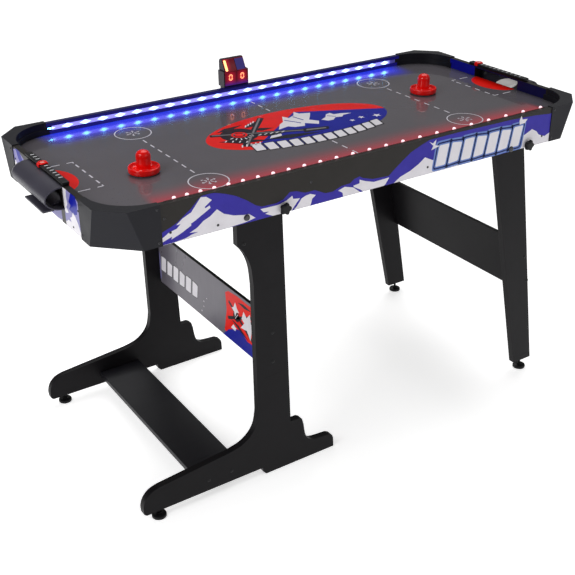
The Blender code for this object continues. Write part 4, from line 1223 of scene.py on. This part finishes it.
def make_screws():
    """Cross-head screws along the aprons and on the corner caps."""
    heads, cuts = bmesh.new(), bmesh.new()
    on_side = [(-0.189, 0.768), (-0.552, 0.770), (-0.540, 0.736)]
    on_side += [(-0.428, 0.724), (0.533, 0.731), (0.150, 0.729)]
    on_end = ((-0.186, 0.772), (0.186, 0.772), (-0.150, 0.722), (0.150, 0.722))
    cap_side = ((-0.568, 0.794), (-0.568, 0.720), (0.568, 0.794), (0.568, 0.720))
    cap_end = ((-0.206, 0.792), (-0.200, 0.722), (0.206, 0.792), (0.200, 0.722))
    large, small = 0.0031, 0.0028
    for sign in (-1, 1):
        for x, z in on_side:
            add_screw(heads, cuts, (-sign * x if sign > 0 else x, sign * OUT_Y, z), (0, sign, 0), large)
        for x, z in cap_side:
            add_screw(heads, cuts, (x, sign * 0.3200, z), (0, sign, 0), small)
        for y, z in cap_end:
            add_screw(heads, cuts, (sign * 0.6860, y, z), (sign, 0, 0), small)
        for y, z in on_end:
            add_screw(heads, cuts, (sign * OUT_X, y, z), (sign, 0, 0), small)
    piece("body_screws", heads, "steel", "table")
    # dark cross plates: painted shade of the recesses
    piece("body_screw_cross_painted_shade", cuts, "ink_dark", "table")


def make_leg_bolts():
    """Small bolts in the I-leg heads and the fixings of the boards and the crossbar."""
    stand, legs = bmesh.new(), bmesh.new()
    head = [(0, -0.0006), (0.0048, -0.0006), (0.0048, 0.0002), (0.0040, 0.0008), (0.0020, 0.0010)]
    head += [(0.0017, 0.0003), (0, 0.0003)]
    low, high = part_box("crossbar")
    on_stand = [(-0.356, 0.654), (-0.2857, 0.325), (-0.2857, 0.405), (-0.475, 0.0525), (-0.411, 0.0525)]
    on_legs = [(low[0] + (high[0] - low[0]) * (1 - t), low[2] + (high[2] - low[2]) * t) for t in (0.25, 0.75)]
    for sign in (-1, 1):
        for bm, places in ((stand, on_stand), (legs, on_legs)):
            for x, z in places:
                add_turned(bm, head, 20, (x, sign * LEG_OUT_Y, z), (0, sign, 0))
    smooth(piece("stand_bolts", stand, "black_part", "stand"), 40)
    smooth(piece("leg_bolts", legs, "black_part", "folding_legs"), 40)


def lit_nought(cx, cz):
    """A figure nought of six lit strokes."""
    wide, tall, thick, short = 0.0085, 0.0140, 0.0036, 0.84
    strokes = [(x, z, x, z + 1) for x in (-1, 1) for z in (-1, 0)] + [(-1, z, 1, z) for z in (1, -1)]
    out = []
    for x0, z0, x1, z1 in strokes:
        mx, mz = (x0 + x1) / 2, (z0 + z1) / 2
        ends = []
        for x, z in ((x0, z0), (x1, z1)):
            ends += [cx + (mx + (x - mx) * short) * wide / 2, cz + (mz + (z - mz) * short) * tall / 2]
        out.append(fillet(bar(*ends, thick), thick * 0.4, 2))
    return out


def make_scoreboard():
    """Electronic scorer: bent dark window lit red from inside, two figures, a lit side bar and a divider."""
    soft_copy("scoreboard_case", "scorer_case", "table", 0.0010, 3, 30)
    lens = piece("scoreboard_window", node_bmesh("scoreboard_lens"), "window", "table")
    rounded(lens, 0.0005, 2)
    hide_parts("scoreboard_lens")
    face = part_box("scoreboard_lens")[0][1]
    digits = lit_nought(-0.0235, 0.8280) + lit_nought(0.0130, 0.8280)
    decal("score_figures", digits, "xz", face - 0.00014, 0.00014, "digit")
    seams = [bar(-0.0052, 0.8420, -0.0052, 0.8080, 0.0007), bar(-0.0380, 0.8438, 0.0290, 0.8438, 0.0009)]
    decal("score_seams", seams, "xz", face - 0.00010, 0.00010, "ink_dark")
    leaning = ((0, face, 0.8445), (1, 0, 0), (0, 0.0170, 0.0303))
    lamp = fillet([(-0.0372, 0.0325), (-0.0300, 0.0325), (-0.0300, 0.0020), (-0.0372, 0.0020)], 0.0026, 4)
    pane = [(-0.0020, 0.0330), (-0.0020, 0.0015), (0.0245, 0.0015), (0.0245, 0.0330)]
    decal_on("score_lamp", [lamp], *leaning, 0.00020, "amber")
    decal_on("score_divider", [bar(-0.0030, 0.0345, -0.0030, 0.0, 0.0015)], *leaning, 0.00014, "ink_dark")
    decal_on("score_pane", [pane], *leaning, 0.00008, "pane")


def make_score_bars():
    """Counting bars: raised scale ticks on the bar and a round knob that slides along it."""
    base, cheek = SCORE_TOP + 0.0005, 0.0060
    dot = [(0, -0.0014), (0.0054, -0.0014), (0.0052, -0.0004), (0.0034, 0.0004), (0, 0.0006)]
    for end, sign in ENDS.items():
        soft_copy(f"score_bar_{end}", "black_part", "table", 0.0006, 2)
        middle = sign * (IN_X + OUT_X) / 2
        ticks = []
        for i in range(11):
            y = -sign * (0.0880 - 0.0168 * i)
            ticks.append(fillet(bar(middle - sign * 0.0062, y, middle + sign * 0.0030, y, 0.0030), 0.0010, 2))
        decal(f"score_ticks_{end}", ticks, "xy", SCORE_TOP - 0.0001, 0.0004, "tick")
        slider, body = f"score_slider_{end}", f"slider_{end}"
        low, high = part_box(slider)
        cx, cy, _ = centre(low, high)
        top, r = high[2], (high[0] - low[0]) / 2
        foot = base - top
        disc = [(0, foot), (r - 0.0006, foot), (r, foot + 0.0006), (r, -0.0012), (r - 0.0012, 0.0)]
        disc += [(0.0068, 0.0), (0.0060, -0.0012), (0, -0.0012)]
        bm = bmesh.new()
        add_turned(bm, disc, 48, (cx, cy, top))
        for edge, inward in ((low[0], 1), (high[0], -1)):
            wall = sorted((edge, edge + inward * 0.0019))
            add_box(bm, wall, (cy - cheek, cy + cheek), (low[2], base + 0.0006))
            hook = sorted((edge + inward * 0.0012, edge + inward * 0.0034))
            add_box(bm, hook, (cy - cheek, cy + cheek), (0.8045, 0.8055))
        knob = smooth(piece(f"{slider}_knob", bm, "red", body), 40)
        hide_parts(slider)
        turned(f"slider_dot_{end}", dot, 32, (cx, cy, top), "pale_red", body, 50)


# radius and height of a pusher, from the top of its knob to its base
PUSHER_PROFILE = [
    (0, 0.0520), (0.0042, 0.0517), (0.0082, 0.0507), (0.0117, 0.0488), (0.0145, 0.0459),
    (0.0162, 0.0424), (0.0170, 0.0382), (0.0171, 0.0330), (0.0167, 0.0240), (0.0167, 0.0150),
    (0.0172, 0.0104), (0.0186, 0.0079), (0.0210, 0.0066), (0.0250, 0.0061), (0.0288, 0.0064),
    (0.0312, 0.0080), (0.0322, 0.0104), (0.0327, 0.0128), (0.0334, 0.0137), (0.0345, 0.0140),
    (0.0357, 0.0136), (0.0365, 0.0124), (0.0368, 0.0098), (0.0368, 0.0060), (0.0364, 0.0026),
    (0.0355, 0.0008), (0.0338, 0.0), (0, 0.0),
]


def make_play_pieces():
    """Pushers with their felts, and the puck, turned smooth."""
    for end in ENDS:
        low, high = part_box(f"pusher_{end}")
        cx, cy, _ = centre(low, high)
        at = (cx, cy, low[2])
        pusher = turned(f"pusher_{end}_smooth", PUSHER_PROFILE, 96, at, "red", f"pusher_{end}", 60)
        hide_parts(f"pusher_{end}")
        soft_copy(f"pusher_felt_{end}", "felt", f"pusher_{end}", 0.0003, 1)
    low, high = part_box("puck")
    r, t, lean = (high[1] - low[1]) / 2, 0.0052, math.radians(12)
    normal = Vector((-math.sin(lean), 0, math.cos(lean)))
    bottom = Vector(centre(low, high)) - normal * (t / 2)
    half = [(0, t - 0.0004), (0.0190, t - 0.0004), (0.0196, t)]
    half += [(0.0290, t), (0.0301, t - 0.0004), (r, t - 0.0014)]
    bm = bmesh.new()
    add_turned(bm, half + [(q, t - h) for q, h in reversed(half)], 72, bottom, normal)
    puck = smooth(piece("puck_smooth", bm, "puck", "puck"), 40)
    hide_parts("puck")


def make_leveller(end, side):
    """Levelling foot: round disc, hexagonal neck and a threaded stem up into the leg."""
    node = f"leveller_{end}_{side}"
    low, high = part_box(node)
    cx, cy, _ = centre(low, high)
    top, neck_r = high[2], 0.0078
    disc = [(0, 0), (0.0165, 0), (0.0176, 0.0006), (0.0180, 0.0018), (0.0180, 0.0060)]
    disc += [(0.0172, 0.0078), (0.0158, 0.0086), (0, 0.0088)]
    turns = [math.radians(60 * k) for k in range(6)]
    hexagon = [(cx + neck_r * math.cos(t), cy + neck_r * math.sin(t)) for t in turns]
    thread = [(0, 0.006)]
    z = 0.0125
    while z < top - 0.0012:
        thread += [(0.0028, z), (0.0032, z + 0.0005)]
        z += 0.0010
    thread += [(0.0026, top), (0, top)]
    bm = bmesh.new()
    add_turned(bm, disc, 48, (cx, cy, low[2]))
    add_prism(bm, hexagon, "xy", 0.0080, 0.0140)
    add_turned(bm, thread, 20, (cx, cy, 0))
    foot = smooth(piece(f"{node}_foot", bm, "black_part", f"{node}"), 35)
    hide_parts(node)


def make_corner_step(end, side):
    """Inner step of a corner's rounded rail."""
    r, sx, sy = 0.1080, ENDS[end], SIDES[side]
    cx, cy = IN_X - r, IN_Y - r
    outer = arc(cx, cy, r + 0.0006, r + 0.0006, -4, 94, 28)
    inner = arc(cx, cy, r - 0.0022, r - 0.0022, 94, -4, 28)
    bm = bmesh.new()
    add_prism(bm, [(sx * x, sy * y) for x, y in outer + inner], "xy", FIELD_Z + 0.0005, 0.7868)
    rounded(piece(f"corner_step_{end}_{side}", bm, "cap", "table"), 0.0006, 2, 50)


def make_blower_guard():
    """Rings, six spokes and a hub over the blower's mouth."""
    low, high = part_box("blower_housing")
    cx, cy, _ = centre(low, high)
    z, half = low[2], 0.0012
    bm = bmesh.new()
    for r in (0.016, 0.027, 0.038, 0.049):
        wire = [(r - 0.0009, -0.0006), (r, -0.0014), (r + 0.0009, -0.0006), (r, 0.0004)]
        add_turned(bm, wire, 48, (cx, cy, z + 0.0012))
    for k in range(6):
        t = math.radians(60 * k + 15)
        a, b = Vector((math.cos(t), math.sin(t))), Vector((-math.sin(t), math.cos(t))) * half
        corners = [a * 0.012 + b, a * 0.0585 + b, a * 0.0585 - b, a * 0.012 - b]
        add_prism(bm, [(cx + p.x, cy + p.y) for p in corners], "xy", z + 0.0002, z + 0.0020)
    add_turned(bm, [(0, -0.0012), (0.0135, -0.0006), (0.0140, 0.0014), (0, 0.0014)], 32, (cx, cy, z + 0.0006))
    smooth(piece("blower_guard", bm, "black_part", "table"), 40)


def make_soft_copies():
    """Board and moulded parts whose own shape only needs eased edges."""
    for side in SIDES:
        soft_copy(f"i_leg_{side}", "board", "stand", 0.0012, 2, 40)
        soft_copy(f"straight_leg_{side}", "board", "folding_legs", 0.0012, 2, 40)
        soft_copy(f"body_lock_knob_{side}", "black_part", f"body_knob_{side}", 0.0003, 1, 50)
        soft_copy(f"leg_lock_knob_{side}", "black_part", f"leg_knob_{side}", 0.0003, 1, 50)
    # the lower board takes the copy with painted reflection
    soft_copy("lower_board", "board_painted_reflection", "stand", 0.0006, 1)
    soft_copy("printed_panel", "panel", "stand", 0.0004, 1)
    soft_copy("crossbar", "board", "folding_legs", 0.0010, 2)
    for end in ENDS:
        for side in SIDES:
            soft_copy(f"corner_cap_{end}_{side}", "cap", "table", 0.0010, 2, 25)
    soft_copy("blower_housing", "black_part", "table", 0.0006, 2, 40)
    soft_copy("switch_frame", "black_part", "table", 0.0003, 1)
    soft_copy("switch_rocker", "red", "rocker", 0.0003, 1)
    soft_copy("power_inlet", "black_part", "table", 0.0002, 1, 40)
    soft_copy("scoreboard_button", "red", "reset_button", 0.0004, 2, 40)


def paint_nodes():
    """Looks of the parts that show as they are in the frame."""
    looks = {"air_box": "fibre", "blower_impeller": "black_part"}
    looks.update({f"cross_batten_{end}": "fibre" for end in ENDS})
    looks.update({f"{bolt}_{side}": "steel" for bolt in ("pivot_bolt", "hinge_bolt") for side in SIDES})
    for name, look in looks.items():
        for slot in NODES[name].material_slots:
            slot.material = LOOKS[look].mat


# ---------------------------------------------------------------- assembly
LOOKS = {**make_moulded_looks(), **make_ink_looks(), **make_lit_looks()}
make_camera()
make_studio()
make_floor()
make_playing_surface()
make_field_print()
make_emblem_ground()
make_emblem_sticks()
make_emblem_bars()
for place in (*SIDES, *ENDS):
    soft_copy(f"apron_{place}", "rail_film", "table", 0.0007, 2)
for side, sign in SIDES.items():
    make_side_print(side, sign)
for end, sign in ENDS.items():
    make_end_print(end, sign)
    soft_copy(f"goal_box_{end}", "hood", "table", 0.0007, 2, 40)
make_panel_print()
make_rail_faces()
make_light_strips()
make_screws()
make_leg_bolts()
make_scoreboard()
make_score_bars()
make_play_pieces()
corners = [(end, side) for end in ENDS for side in SIDES]
for end, side in corners:
    make_leveller(end, side)
for end, side in corners:
    make_corner_step(end, side)
make_blower_guard()
make_soft_copies()
paint_nodes()
